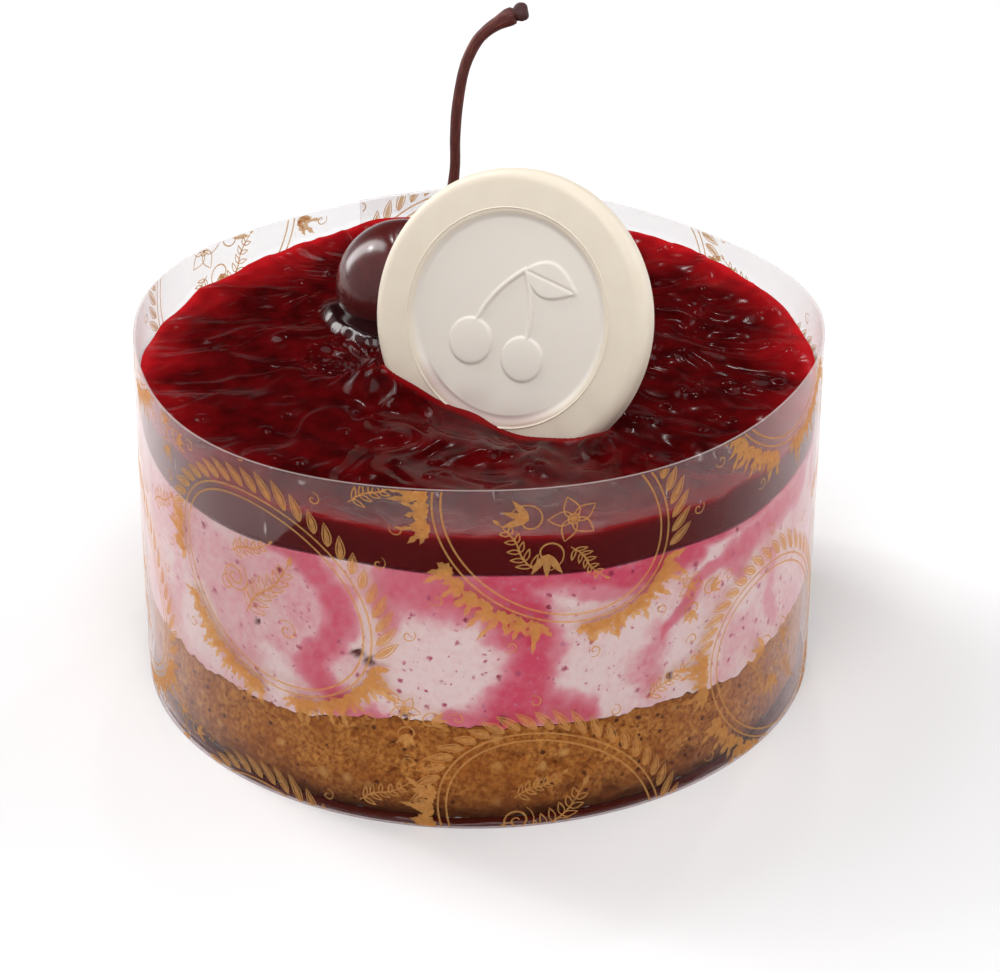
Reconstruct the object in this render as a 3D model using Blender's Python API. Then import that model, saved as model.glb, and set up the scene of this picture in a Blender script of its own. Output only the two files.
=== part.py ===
"""Single-serving cherry cheesecake in a clear film collar.

A pressed biscuit base, a cheese layer and a cherry glaze stand inside a strip of clear
cake film. A whole cherry with its stem and a round white chocolate medallion are pushed
into the glaze. Every piece is its own closed solid, in metres, with +Z up and the origin
at the middle of the cake's underside.
"""
import math

import bmesh
import bpy
from mathutils import Matrix, Vector, noise

for old_object in list(bpy.data.objects):
    bpy.data.objects.remove(old_object, do_unlink=True)

MM = 0.001
GAP = 0.3 * MM                      # clearance left between neighbouring pieces

# Film collar: a 40 mm strip wound once round a 76 mm cake, its ends lapped at the back.
FILM_RADIUS = 38.0 * MM             # outer face at the foot
FILM_HEIGHT = 40.0 * MM
FILM_THICKNESS = 0.25 * MM
FILM_LAP_CENTRE = math.radians(98)  # measured from +X, so just left of the back
FILM_LAP_ANGLE = math.radians(26)
FILM_LAP_STEP = FILM_THICKNESS + GAP
FILM_STEP_ANGLES = (math.radians(14), math.radians(1))   # how far before the lap it steps out
FILM_COLUMNS = 78
FILM_ROWS = 3
# The free rim is pulled out of round: lobes, cosine and sine amplitude.
RIM_WAVES = ((2, -0.45 * MM, -0.06 * MM), (3, 0.11 * MM, -0.13 * MM),
             (4, 0.22 * MM, -0.20 * MM), (5, 0.34 * MM, 0.42 * MM))
RIM_WAVE_POWER = 1.6                # how late up the film's height the waves come in

# Layers: heights above the cake's underside. Each wave is a count round the cake, a height
# and a phase; a pair of shares of the radius says between which a feature of the top fades in.
SEGMENTS = 96
BISCUIT_HEIGHT = 11.7 * MM
BISCUIT_WAVES = ((4, 0.75 * MM, 0.2), (9, 0.35 * MM, 1.9), (15, 0.18 * MM, 4.0))
BISCUIT_WAVE_SHARES = (0.3, 0.9)
BISCUIT_FOOT_INSET = 0.9 * MM       # the foot is rounded in, away from the film
BISCUIT_FOOT_SHARE = 0.22           # share of the height that the rounding takes
CRUMB_DEPTH = 0.55 * MM
CRUMB_SIZE = 3.2 * MM
CHEESE_HEIGHT = 30.15 * MM          # where the glaze meets it at the side
CHEESE_FALL = -0.023                # it runs down towards +X
CHEESE_WAVES = ((3, 0.22 * MM, 0.8), (7, 0.16 * MM, 2.6), (13, 0.10 * MM, 5.1))
CHEESE_DISH_HEIGHT = 27.9 * MM      # dished top, under the cherry and the medallion
CHEESE_RIM_SHARES = (0.72, 0.95)
GLAZE_HEIGHT = 35.25 * MM
# Tilt and sag of the glaze, as lobes, cosine and sine height at the rim.
GLAZE_LOBES = ((1, -0.36 * MM, 1.24 * MM), (2, -0.66 * MM, 0.87 * MM),
               (4, -0.29 * MM, 0.41 * MM))
# Ripples left by the spatula: wavelength, height, direction and phase.
GLAZE_RIPPLES = ((9.5 * MM, 0.18 * MM, 1.35, 0.4), (14.0 * MM, 0.14 * MM, 1.75, 2.1),
                 (7.5 * MM, 0.10 * MM, 1.10, 4.4))
RIPPLE_BEND = 1.2                   # radians that a ripple wanders by
RIPPLE_BEND_LENGTH = 3.0            # in wavelengths
# Glaze pushed up at the medallion's two ends: place, height and spread.
GLAZE_SWELLS = ((Vector((-9.6, -6.4)) * MM, 2.2 * MM, 4.2 * MM),
                (Vector((12.5, -17.8)) * MM, 0.9 * MM, 3.4 * MM))
GLAZE_LIP = 0.35 * MM               # the glaze climbs a little where it meets the film
GLAZE_LIP_SHARES = (0.90, 0.98)

# Cherry, leaning to the right.
CHERRY_RADIUS = 7.9 * MM
CHERRY_CENTRE = Vector((-8.07, 14.9, 37.9)) * MM
CHERRY_AXIS = Vector((0.38, -0.22, 0.90)).normalized()
CHERRY_DIMPLE_DEPTH = 0.28          # of the radius
CHERRY_DIMPLE_ANGLE = 0.36          # radians from the axis
CHERRY_SEAM_DEPTH = 0.02            # of the radius
CHERRY_SEAM_ANGLE = 0.3             # radians to each side
CHERRY_SEGMENTS = 30
CHERRY_RINGS = 18

# Stem: its middle line, and its radius at the foot, along the middle and at the tip.
STEM_START = 6.5 * MM               # from the cherry's centre, along its axis
STEM_ROUTE = [Vector(point) * MM for point in (
    (-4.0, 14.0, 46.5), (-2.6, 14.3, 49.4), (-2.05, 14.5, 52.6), (-1.95, 14.5, 56.2),
    (-1.65, 14.5, 60.0), (-0.85, 14.5, 64.2), (0.35, 14.5, 67.0), (1.5, 14.5, 68.4),
    (2.9, 14.5, 69.4), (4.8, 14.5, 70.35), (6.2, 14.5, 70.6))]
STEM_STEPS = 3                      # spline points in each stretch of the route
STEM_FOOT_RADIUS = 0.85 * MM
STEM_RADIUS = 0.62 * MM
STEM_TIP_RADIUS = 1.05 * MM
STEM_FOOT_SHARE = 0.16              # share of its length that the stout foot takes
STEM_TIP_SHARES = (0.84, 0.97)      # where along it the tip widens

# White chocolate medallion, leaning back with its right edge turned to the front.
DISC_RADIUS = 15.8 * MM
DISC_THICKNESS = 3.2 * MM
DISC_FRONT_ROUND = 1.3 * MM
DISC_BACK_ROUND = 0.9 * MM
DISC_RECESS_RADIUS = 11.0 * MM      # middle of the recess's sloped wall
DISC_RECESS_DEPTH = 0.6 * MM
DISC_RECESS_WALL = 1.1 * MM         # width of that wall
DISC_CENTRE = Vector((3.3, -9.2, 45.0)) * MM     # middle of the front face
DISC_TURN = math.radians(27)        # from facing -Y towards facing -X
DISC_LEAN = math.radians(20.5)
DISC_SEGMENTS = 44
DISC_ROUND_STEPS = 3


def smooth_step(low, high, value):
    """0 below low, 1 above high, with an easy curve between."""
    share = min(max((value - low) / (high - low), 0.0), 1.0)
    return share * share * (3.0 - 2.0 * share)


def wave_sum(waves, angle):
    """Sum of (count, height, phase) waves round the cake."""
    return sum(height * math.cos(count * angle + phase) for count, height, phase in waves)


def rim_wave(angle, z):
    """How far the film stands out of round at this height."""
    share = min(max(z / FILM_HEIGHT, 0.0), 1.0) ** RIM_WAVE_POWER
    return share * sum(c * math.cos(n * angle) + s * math.sin(n * angle) for n, c, s in RIM_WAVES)


def cake_radius(angle, z):
    """Side of the cake, a gap inside the film."""
    return FILM_RADIUS - FILM_THICKNESS - GAP + rim_wave(angle, z)


def from_front(x, y):
    """Angle round the cake from -Y, and distance from the axis as a share of the radius."""
    return math.atan2(x, -y), math.hypot(x, y) / FILM_RADIUS


def biscuit_top(x, y):
    angle, share = from_front(x, y)
    return BISCUIT_HEIGHT + smooth_step(*BISCUIT_WAVE_SHARES, share) * wave_sum(BISCUIT_WAVES, angle)


def cheese_top(x, y):
    angle, share = from_front(x, y)
    rim = CHEESE_HEIGHT + CHEESE_FALL * x + wave_sum(CHEESE_WAVES, angle)
    return CHEESE_DISH_HEIGHT + smooth_step(*CHEESE_RIM_SHARES, share) * (rim - CHEESE_DISH_HEIGHT)


def glaze_ripple(x, y):
    """Height of the spatula's wandering ripples."""
    total = 0.0
    for length, height, direction, phase in GLAZE_RIPPLES:
        along = x * math.cos(direction) + y * math.sin(direction)
        bend = RIPPLE_BEND * math.sin((x - 0.5 * y) / (RIPPLE_BEND_LENGTH * length) + phase)
        total += height * math.sin(2.0 * math.pi * along / length + bend + phase)
    return total


def glaze_top(x, y):
    angle, share = math.atan2(y, x), math.hypot(x, y) / FILM_RADIUS
    level = GLAZE_HEIGHT + glaze_ripple(x, y)
    for n, c, s in GLAZE_LOBES:
        level += share ** n * (c * math.cos(n * angle) + s * math.sin(n * angle))
    for place, height, spread in GLAZE_SWELLS:
        away = (Vector((x, y)) - place).length / spread
        level += height * math.exp(-away * away)
    return level + GLAZE_LIP * smooth_step(*GLAZE_LIP_SHARES, share)


def biscuit_radius(angle, z):
    """Crumbly side: pits of crumb size, and a foot that is rounded in."""
    radius = cake_radius(angle, z)
    place = Vector((radius * math.cos(angle), radius * math.sin(angle), z)) / CRUMB_SIZE
    pit = CRUMB_DEPTH * (0.5 + 0.5 * noise.noise(place))
    foot = 1.0 - smooth_step(0.0, BISCUIT_FOOT_SHARE, z / BISCUIT_HEIGHT)
    return radius - pit - BISCUIT_FOOT_INSET * foot


def new_material(name, color, roughness, alpha=1.0):
    material = bpy.data.materials.new(name)
    material.use_nodes = True
    shader = material.node_tree.nodes["Principled BSDF"]
    shader.inputs["Base Color"].default_value = (*color, 1.0)
    shader.inputs["Roughness"].default_value = roughness
    shader.inputs["Metallic"].default_value = 0.0
    shader.inputs["Alpha"].default_value = alpha
    return material


def add_object(name, mesh_data, material):
    piece = bpy.data.objects.new(name, mesh_data)
    bpy.context.scene.collection.objects.link(piece)
    piece.data.materials.append(material)
    return piece


def finish_mesh(name, bm, material):
    """Turn a bmesh into a smooth-shaded object, sharp only at real edges."""
    bmesh.ops.recalc_face_normals(bm, faces=bm.faces)
    mesh = bpy.data.meshes.new(name)
    bm.to_mesh(mesh)
    bm.free()
    mesh.shade_smooth()
    mesh.set_sharp_from_angle(angle=math.radians(35))
    return add_object(name, mesh, material)


def spin_profile(profile, segments):
    """Closed body of revolution about Z from (radius, height) points, axis to axis."""
    bm = bmesh.new()
    points = [bm.verts.new((radius, 0.0, height)) for radius, height in profile]
    edges = [bm.edges.new(pair) for pair in zip(points, points[1:])]
    bmesh.ops.spin(bm, geom=points + edges, axis=(0, 0, 1), cent=(0, 0, 0),
                   angle=2.0 * math.pi, steps=segments, use_merge=True)
    bmesh.ops.remove_doubles(bm, verts=bm.verts, dist=1e-6)
    return bm


def make_layer(name, bottom, top, radius, side_rows, top_rings, bottom_rings, material):
    """Layer of the cake: a unit drum, moved onto its two height functions and its side."""
    profile = [(share, 0.0) for share in bottom_rings]
    profile += [(1.0, row / side_rows) for row in range(1, side_rows)]
    profile += [(share, 1.0) for share in reversed(top_rings)]
    bm = spin_profile(profile, SEGMENTS)
    for vert in bm.verts:
        angle = math.atan2(vert.co.y, vert.co.x)
        share = math.hypot(vert.co.x, vert.co.y)
        rim_x = FILM_RADIUS * share * math.cos(angle)
        rim_y = FILM_RADIUS * share * math.sin(angle)
        low, high = bottom(rim_x, rim_y), top(rim_x, rim_y)
        z = low + vert.co.z * (high - low)
        reach = share * radius(angle, z)
        vert.co = (reach * math.cos(angle), reach * math.sin(angle), z)
    return finish_mesh(name, bm, material)


def quarter_round(centre, radius, start):
    """Quarter circle of a profile, anticlockwise from the start angle in degrees."""
    angles = (math.radians(start + 90.0 * step / DISC_ROUND_STEPS)
              for step in range(DISC_ROUND_STEPS + 1))
    return [(centre[0] + radius * math.cos(angle), centre[1] + radius * math.sin(angle))
            for angle in angles]


def disc_outline(grown):
    """Medallion's profile from the middle of its back to its front margin."""
    edge, back, front = DISC_RADIUS + grown, -DISC_THICKNESS - grown, grown
    return [(0.0, back),
            *quarter_round((edge - DISC_BACK_ROUND, back + DISC_BACK_ROUND), DISC_BACK_ROUND, -90.0),
            *quarter_round((edge - DISC_FRONT_ROUND, front - DISC_FRONT_ROUND), DISC_FRONT_ROUND, 0.0)]


def disc_placement():
    """Matrix from the medallion's own frame, front along +Z, to its place in the cake."""
    facing = Vector((-math.sin(DISC_TURN) * math.cos(DISC_LEAN),
                     -math.cos(DISC_TURN) * math.cos(DISC_LEAN), math.sin(DISC_LEAN)))
    across = Vector((math.cos(DISC_TURN), -math.sin(DISC_TURN), 0.0))
    upward = facing.cross(across)
    turn = Matrix((across, upward, facing)).transposed().to_4x4()
    return Matrix.Translation(DISC_CENTRE) @ turn


def make_disc(name, material):
    """Medallion: a raised margin round a shallow recess with a sloped wall."""
    wall = 0.5 * DISC_RECESS_WALL
    front = [(DISC_RECESS_RADIUS + wall, 0.0), (DISC_RECESS_RADIUS - wall, -DISC_RECESS_DEPTH),
             (0.0, -DISC_RECESS_DEPTH)]
    bm = spin_profile(disc_outline(0.0) + front, DISC_SEGMENTS)
    bmesh.ops.transform(bm, matrix=disc_placement(), verts=bm.verts)
    return finish_mesh(name, bm, material)


def make_disc_cutter(material):
    """Slot for the medallion: its outline, larger all round by the gap."""
    bm = spin_profile(disc_outline(GAP) + [(0.0, GAP)], DISC_SEGMENTS)
    bmesh.ops.transform(bm, matrix=disc_placement(), verts=bm.verts)
    return finish_mesh("disc_slot_guide", bm, material)


def cherry_placement():
    turn = CHERRY_AXIS.to_track_quat("Z", "Y").to_matrix().to_4x4()
    return Matrix.Translation(CHERRY_CENTRE) @ turn


def make_cherry(name, material):
    """Round fruit with a stem cavity on its axis and a faint seam down one side."""
    bm = bmesh.new()
    bmesh.ops.create_uvsphere(bm, u_segments=CHERRY_SEGMENTS, v_segments=CHERRY_RINGS,
                              radius=CHERRY_RADIUS)
    for vert in bm.verts:
        polar = math.acos(max(-1.0, min(1.0, vert.co.z / CHERRY_RADIUS)))
        turn = math.atan2(vert.co.y, vert.co.x)
        dimple = CHERRY_DIMPLE_DEPTH * math.exp(-(polar / CHERRY_DIMPLE_ANGLE) ** 2)
        seam = CHERRY_SEAM_DEPTH * math.exp(-(turn / CHERRY_SEAM_ANGLE) ** 2) * math.sin(polar)
        vert.co *= 1.0 - dimple - seam
    bmesh.ops.transform(bm, matrix=cherry_placement(), verts=bm.verts)
    return finish_mesh(name, bm, material)


def make_cherry_cutter(material):
    """Hollow for the cherry: a ball, larger than the fruit by the gap."""
    bm = bmesh.new()
    bmesh.ops.create_uvsphere(bm, u_segments=CHERRY_SEGMENTS, v_segments=CHERRY_RINGS,
                              radius=CHERRY_RADIUS + GAP)
    bmesh.ops.transform(bm, matrix=cherry_placement(), verts=bm.verts)
    return finish_mesh("cherry_hollow_guide", bm, material)


def cut(piece, cutter):
    """Cut a hollow in a piece, and keep the cutter as a hidden guide."""
    cutter.hide_render = True
    cutter.display_type = "WIRE"
    boolean = piece.modifiers.new(cutter.name, "BOOLEAN")
    boolean.operation = "DIFFERENCE"
    boolean.object = cutter


def smooth_route(points, steps):
    """Catmull-Rom curve through the points, with steps stretches from each to the next."""
    ends = [2 * points[0] - points[1], *points, 2 * points[-1] - points[-2]]
    route = []
    for a, b, c, d in zip(ends, ends[1:], ends[2:], ends[3:]):
        for step in range(steps):
            t = step / steps
            route.append(0.5 * (2 * b + (c - a) * t + (2 * a - 5 * b + 4 * c - d) * t ** 2
                                + (3 * b - a - 3 * c + d) * t ** 3))
    return route + [points[-1]]


def make_stem(name, material):
    """Stem: a round tube that is stout at its foot and flares to a knob at its tip."""
    start = CHERRY_CENTRE + CHERRY_AXIS * STEM_START
    route = smooth_route([start, *STEM_ROUTE], STEM_STEPS)
    curve = bpy.data.curves.new(name, "CURVE")
    curve.dimensions = "3D"
    curve.bevel_depth = STEM_RADIUS
    curve.bevel_resolution = 2
    curve.use_fill_caps = True
    spline = curve.splines.new("POLY")
    spline.points.add(len(route) - 1)
    for index, (point, place) in enumerate(zip(spline.points, route)):
        share = index / (len(route) - 1)
        foot = (STEM_FOOT_RADIUS / STEM_RADIUS - 1.0) * (1.0 - smooth_step(0.0, STEM_FOOT_SHARE, share))
        tip = (STEM_TIP_RADIUS / STEM_RADIUS - 1.0) * smooth_step(*STEM_TIP_SHARES, share)
        point.co = (*place, 1.0)
        point.radius = 1.0 + foot + tip
    return add_object(name, curve, material)


def film_radius(angle, turned, z):
    """Middle of the film; the last stretch steps out to lap over the first."""
    before, after = (2.0 * math.pi - early for early in FILM_STEP_ANGLES)
    step = FILM_LAP_STEP * smooth_step(before, after, turned)
    return FILM_RADIUS - 0.5 * FILM_THICKNESS + rim_wave(angle, z) + step


def make_collar(name, material):
    """Film: a flat strip of quads, wound round the cake and given its thickness."""
    bm = bmesh.new()
    bmesh.ops.create_grid(bm, x_segments=FILM_COLUMNS, y_segments=FILM_ROWS, size=1.0)
    start = FILM_LAP_CENTRE - 0.5 * FILM_LAP_ANGLE
    for vert in bm.verts:
        turned = 0.5 * (vert.co.x + 1.0) * (2.0 * math.pi + FILM_LAP_ANGLE)
        z = 0.5 * (vert.co.y + 1.0) * FILM_HEIGHT
        angle = start + turned
        radius = film_radius(angle, turned, z)
        vert.co = (radius * math.cos(angle), radius * math.sin(angle), z)
    mesh = bpy.data.meshes.new(name)
    bm.to_mesh(mesh)
    bm.free()
    mesh.shade_smooth()
    collar = add_object(name, mesh, material)
    wall = collar.modifiers.new("film thickness", "SOLIDIFY")
    wall.thickness = FILM_THICKNESS
    wall.offset = 0.0
    wall.use_even_offset = True
    return collar


def underside(x, y):
    return 0.0


def below(surface):
    return lambda x, y: surface(x, y) - 0.5 * GAP


def above(surface):
    return lambda x, y: surface(x, y) + 0.5 * GAP


biscuit_material = new_material("biscuit", (0.42, 0.22, 0.08), 0.85)
cheese_material = new_material("cheese", (0.80, 0.42, 0.48), 0.45)
glaze_material = new_material("glaze", (0.16, 0.003, 0.006), 0.12)
cherry_material = new_material("cherry", (0.06, 0.008, 0.010), 0.10)
stem_material = new_material("stem", (0.14, 0.035, 0.020), 0.5)
chocolate_material = new_material("white_chocolate", (0.80, 0.72, 0.58), 0.35)
film_material = new_material("film", (0.90, 0.85, 0.88), 0.05, alpha=0.25)

FOOT_RINGS = (0.0, 0.6, 1.0)        # shares of the radius where a layer's faces have a ring
LAYER_RINGS = (0.0, 0.45, 0.72, 0.86, 0.95, 1.0)
GLAZE_RINGS = [ring / 13 for ring in range(14)]

make_layer("biscuit_base", underside, below(biscuit_top), biscuit_radius,
           8, LAYER_RINGS, FOOT_RINGS, biscuit_material)
make_layer("cheese_layer", above(biscuit_top), below(cheese_top), cake_radius,
           3, LAYER_RINGS, LAYER_RINGS, cheese_material)
cherry_glaze = make_layer("cherry_glaze", above(cheese_top), glaze_top, cake_radius,
                          2, GLAZE_RINGS, LAYER_RINGS, glaze_material)
cut(cherry_glaze, make_cherry_cutter(glaze_material))
cut(cherry_glaze, make_disc_cutter(glaze_material))
make_cherry("cherry", cherry_material)
make_stem("cherry_stem", stem_material)
make_disc("white_chocolate_disc", chocolate_material)
make_collar("acetate_collar", film_material)
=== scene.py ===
"""Looks of the cherry cheesecake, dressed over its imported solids.

The sections follow the cake as it is put together: the studio, the biscuit base, the cheese
layer, the cherry glaze, the cherry and its stem, the white chocolate medallion, the clear
film with its gold print, and the juice at the foot. Lengths are metres, written as
millimetres times MM, with +Z up and the origin in the middle of the cake's underside.
"""
import math
import random

import bmesh
import bpy
from mathutils import Matrix, Vector, noise
from mathutils.bvhtree import BVHTree


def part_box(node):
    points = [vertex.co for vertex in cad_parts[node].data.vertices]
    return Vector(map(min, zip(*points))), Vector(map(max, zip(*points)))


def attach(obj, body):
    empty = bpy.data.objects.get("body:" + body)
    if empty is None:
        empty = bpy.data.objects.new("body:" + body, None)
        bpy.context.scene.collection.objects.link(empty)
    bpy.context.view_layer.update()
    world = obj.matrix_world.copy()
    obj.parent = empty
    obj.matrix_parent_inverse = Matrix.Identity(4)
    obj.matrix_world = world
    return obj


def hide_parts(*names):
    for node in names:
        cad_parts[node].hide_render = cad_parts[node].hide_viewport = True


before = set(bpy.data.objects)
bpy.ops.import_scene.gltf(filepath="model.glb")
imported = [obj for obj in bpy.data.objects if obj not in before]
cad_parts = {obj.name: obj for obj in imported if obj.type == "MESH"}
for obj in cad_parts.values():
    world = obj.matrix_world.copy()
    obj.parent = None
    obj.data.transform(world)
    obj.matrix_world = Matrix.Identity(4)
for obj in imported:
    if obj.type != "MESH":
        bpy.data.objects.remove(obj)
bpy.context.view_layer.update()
MM = 0.001


# ---------------------------------------------------------------- camera, table and lights
# A plain pale table under large soft lamps, with the camera where the photographer's was:
# a long lens close to the cake, looking down at it by 28 degrees.
CAMERA_PLACE = Vector((0.0, -267.3, 164.74)) * MM
CAMERA_YAW = math.radians(0.5625)       # to the right of +Y
CAMERA_PITCH = math.radians(-28.449)
CAMERA_ROLL = math.radians(-0.3905)
CAMERA_LENS = 96.918                    # in mm, for a sensor 36 mm wide
TABLE_SIZE = 6.0
TABLE_DROP = 0.05 * MM                  # the table lies this far under the cake
# Lamps: azimuth from +X, elevation, distance, width, height and power in watts.
LAMPS = (("lamp_over", -96, 62, 0.90, 0.60, 0.60, 4.9),
         ("lamp_left", 144, 36, 0.80, 0.26, 1.00, 5.0),
         ("lamp_right", 20, 32, 0.80, 0.75, 0.75, 2.8),
         ("lamp_glint_left", 150, 46, 0.90, 0.03, 0.05, 0.5),
         ("lamp_glint_back", 84, 60, 0.90, 0.03, 0.03, 0.40),
         ("lamp_glint_right", 62, 50, 0.90, 0.03, 0.03, 0.36))
SKY_BACK = 0.03                         # brightness of the room behind and over the cake,
SKY_ROUND = 0.55                        # and of the rest of it


def srgb(code):
    """Linear colour from an sRGB hex code such as "#c8a060"."""
    parts = [int(code[i:i + 2], 16) / 255.0 for i in (1, 3, 5)]
    return (*(p / 12.92 if p <= 0.04045 else ((p + 0.055) / 1.055) ** 2.4 for p in parts), 1.0)


def add_node(tree, kind, numbered=None, out=0, **named):
    """Add a node and give one output: its properties are in small letters, and its sockets
    go by number or by name, with _ for a space, and take a value or an output to link."""
    node = tree.nodes.new("ShaderNode" + kind)
    sockets = dict(numbered or {})
    for name, value in named.items():
        if name[0].islower():
            setattr(node, name, value)
        else:
            sockets[name.replace("_", " ")] = value
    for key, value in sockets.items():
        if isinstance(value, bpy.types.NodeSocket):
            tree.links.new(value, node.inputs[key])
        else:
            node.inputs[key].default_value = value
    return node.outputs[out] if node.outputs else None


def start_material(name):
    """An empty material, its tree and its Object coordinates."""
    material = bpy.data.materials.new(name)
    material.use_nodes = True
    material.node_tree.nodes.clear()
    return material, material.node_tree, add_node(material.node_tree, "TexCoord", out="Object")


def direction(azimuth, elevation):
    a, e = math.radians(azimuth), math.radians(elevation)
    return Vector((math.cos(a) * math.cos(e), math.sin(a) * math.cos(e), math.sin(e)))


camera = bpy.data.objects.new("camera", bpy.data.cameras.new("camera"))
bpy.context.scene.collection.objects.link(camera)
camera.matrix_world = (Matrix.Translation(CAMERA_PLACE) @ Matrix.Rotation(-CAMERA_YAW, 4, "Z")
                       @ Matrix.Rotation(math.pi / 2 + CAMERA_PITCH, 4, "X")
                       @ Matrix.Rotation(CAMERA_ROLL, 4, "Z"))
camera.data.lens = CAMERA_LENS
camera.data.sensor_width = 36.0
camera.data.clip_start = 0.01
camera.data.clip_end = 20.0
bpy.context.scene.camera = camera
bpy.context.scene.view_settings.view_transform = "Standard"
bpy.context.scene.cycles.use_denoising = True
bpy.context.scene.cycles.transparent_max_bounces = 24

for lamp_name, azimuth, elevation, distance, width, height, power in LAMPS:
    lamp = bpy.data.lights.new(lamp_name, "AREA")
    lamp.shape = "RECTANGLE"
    lamp.size, lamp.size_y = width, height
    lamp.energy = power
    lamp_object = bpy.data.objects.new(lamp_name, lamp)
    lamp_object.location = direction(azimuth, elevation) * distance
    lamp_object.rotation_euler = direction(azimuth, elevation).to_track_quat("Z", "Y").to_euler()
    bpy.context.scene.collection.objects.link(lamp_object)

world = bpy.data.worlds.new("studio_room")
world.use_nodes = True
tree = world.node_tree
tree.nodes.clear()
sky = add_node(tree, "TexCoord", out="Generated")
behind = add_node(tree, "VectorMath", {0: sky, 1: direction(90, 52)}, "Value", operation="DOT_PRODUCT")
sky_light = add_node(tree, "MapRange", Value=behind, From_Min=0.42, From_Max=0.86, To_Min=SKY_ROUND,
                     To_Max=SKY_BACK, interpolation_type="SMOOTHSTEP")
sky_shader = add_node(tree, "Background", Color=srgb("#fbfbff"), Strength=sky_light)
add_node(tree, "OutputWorld", Surface=sky_shader)
bpy.context.scene.world = world

# White laminate, faintly satin: no grain shows, only the cake's own soft shadow.
table_material, tree, coords = start_material("white_laminate")
add_node(tree, "OutputMaterial", Surface=add_node(
    tree, "BsdfPrincipled", Base_Color=srgb("#e3e3e3"), Roughness=0.55, Specular_IOR_Level=0.2))
bm = bmesh.new()
bmesh.ops.create_grid(bm, x_segments=1, y_segments=1, size=TABLE_SIZE / 2,
                      matrix=Matrix.Translation((0, 0, -TABLE_DROP)))
table_mesh = bpy.data.meshes.new("table")
bm.to_mesh(table_mesh)
bm.free()
table_mesh.materials.append(table_material)
table = bpy.data.objects.new("table", table_mesh)
bpy.context.scene.collection.objects.link(table)


# ---------------------------------------------------------------- biscuit base
# Crushed biscuit and butter, pressed by hand into the bottom of the ring. The film holds its
# side flat between the crumbs, and its foot is rounded in and coloured darker.
GAP = 0.3 * MM                          # clearance between neighbouring pieces
FILM_RADIUS = 38.0 * MM                 # outer face of the film at its foot
FILM_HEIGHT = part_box("acetate_collar")[1].z
FILM_THICKNESS = 0.25 * MM
# Lobes that pull the film's free rim out of round: count, cosine and sine height.
RIM_WAVES = ((2, -0.45 * MM, -0.06 * MM), (3, 0.11 * MM, -0.13 * MM),
             (4, 0.22 * MM, -0.20 * MM), (5, 0.34 * MM, 0.42 * MM))
RIM_WAVE_POWER = 1.6
BISCUIT_HEIGHT = 11.7 * MM
# Waves of a layer's top: count round the cake, height and phase.
BISCUIT_WAVES = ((4, 0.75 * MM, 0.2), (9, 0.35 * MM, 1.9), (15, 0.18 * MM, 4.0))
BISCUIT_WAVE_SHARES = (0.3, 0.9)
BISCUIT_FOOT_INSET = 0.9 * MM
BISCUIT_FOOT_SHARE = 0.22
CRUMB_DEPTH = 0.55 * MM
CRUMB_SIZE = 3.2 * MM
GRAIN_SIZE = 0.9 * MM                   # single grains of the crushed biscuit
GRAIN_DEPTH = 0.16 * MM
PIT_SIZE = 2.4 * MM                     # small holes between the crumbs
PIT_DEPTH = 0.7 * MM
EDGE_CRUMB_SIZE = 1.7 * MM              # loose crumbs that roughen the line under the cheese
EDGE_CRUMB_HEIGHT = 0.55 * MM
LAYER_RINGS = (0.45, 0.72, 0.86, 0.95)  # rings where layers meet, as shares of the radius
BISCUIT_SEGMENTS = 720
BISCUIT_ROWS = 42


def smooth_step(low, high, value):
    """0 below low, 1 above high, with an easy curve between."""
    share = min(max((value - low) / (high - low), 0.0), 1.0)
    return share * share * (3.0 - 2.0 * share)


def wave_sum(waves, angle):
    return sum(height * math.cos(count * angle + phase) for count, height, phase in waves)


def rim_wave(angle, z):
    """How far the film stands out of round at this height."""
    share = min(max(z / FILM_HEIGHT, 0.0), 1.0) ** RIM_WAVE_POWER
    return share * sum(c * math.cos(n * angle) + s * math.sin(n * angle) for n, c, s in RIM_WAVES)


def cake_radius(angle, z):
    return FILM_RADIUS - FILM_THICKNESS - GAP + rim_wave(angle, z)


def ring_point(angle, radius, z=0.0):
    return Vector((radius * math.cos(angle), radius * math.sin(angle), z))


def from_front(x, y):
    """Angle round the cake from -Y, and distance from the axis as a share of the radius."""
    return math.atan2(x, -y), math.hypot(x, y) / FILM_RADIUS


def biscuit_top(x, y):
    angle, share = from_front(x, y)
    place = Vector((x, y, 0.0)) / EDGE_CRUMB_SIZE
    crumbs = noise.noise(place) + 0.5 * noise.noise(2.5 * place)
    level = BISCUIT_HEIGHT + smooth_step(*BISCUIT_WAVE_SHARES, share) * wave_sum(BISCUIT_WAVES, angle)
    return level + EDGE_CRUMB_HEIGHT * crumbs


def spin_profile(profile, segments):
    """Closed body of revolution about Z from (radius, height) points, axis to axis."""
    bm = bmesh.new()
    points = [bm.verts.new((radius, 0.0, height)) for radius, height in profile]
    edges = [bm.edges.new(pair) for pair in zip(points, points[1:])]
    bmesh.ops.spin(bm, geom=points + edges, axis=(0, 0, 1), cent=(0, 0, 0),
                   angle=2.0 * math.pi, steps=segments, use_merge=True)
    bmesh.ops.remove_doubles(bm, verts=bm.verts, dist=1e-7)
    bmesh.ops.recalc_face_normals(bm, faces=bm.faces)
    return bm


def drum_profile(low_rings, rows):
    """Half section of a unit drum: rings on its two faces, and rows up its side."""
    low = [(share, 0.0) for share in (0.0, *low_rings)]
    side = [(1.0, row / rows) for row in range(rows + 1)]
    return low + side + [(share, 1.0) for share in (*reversed(LAYER_RINGS), 0.0)]


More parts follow.
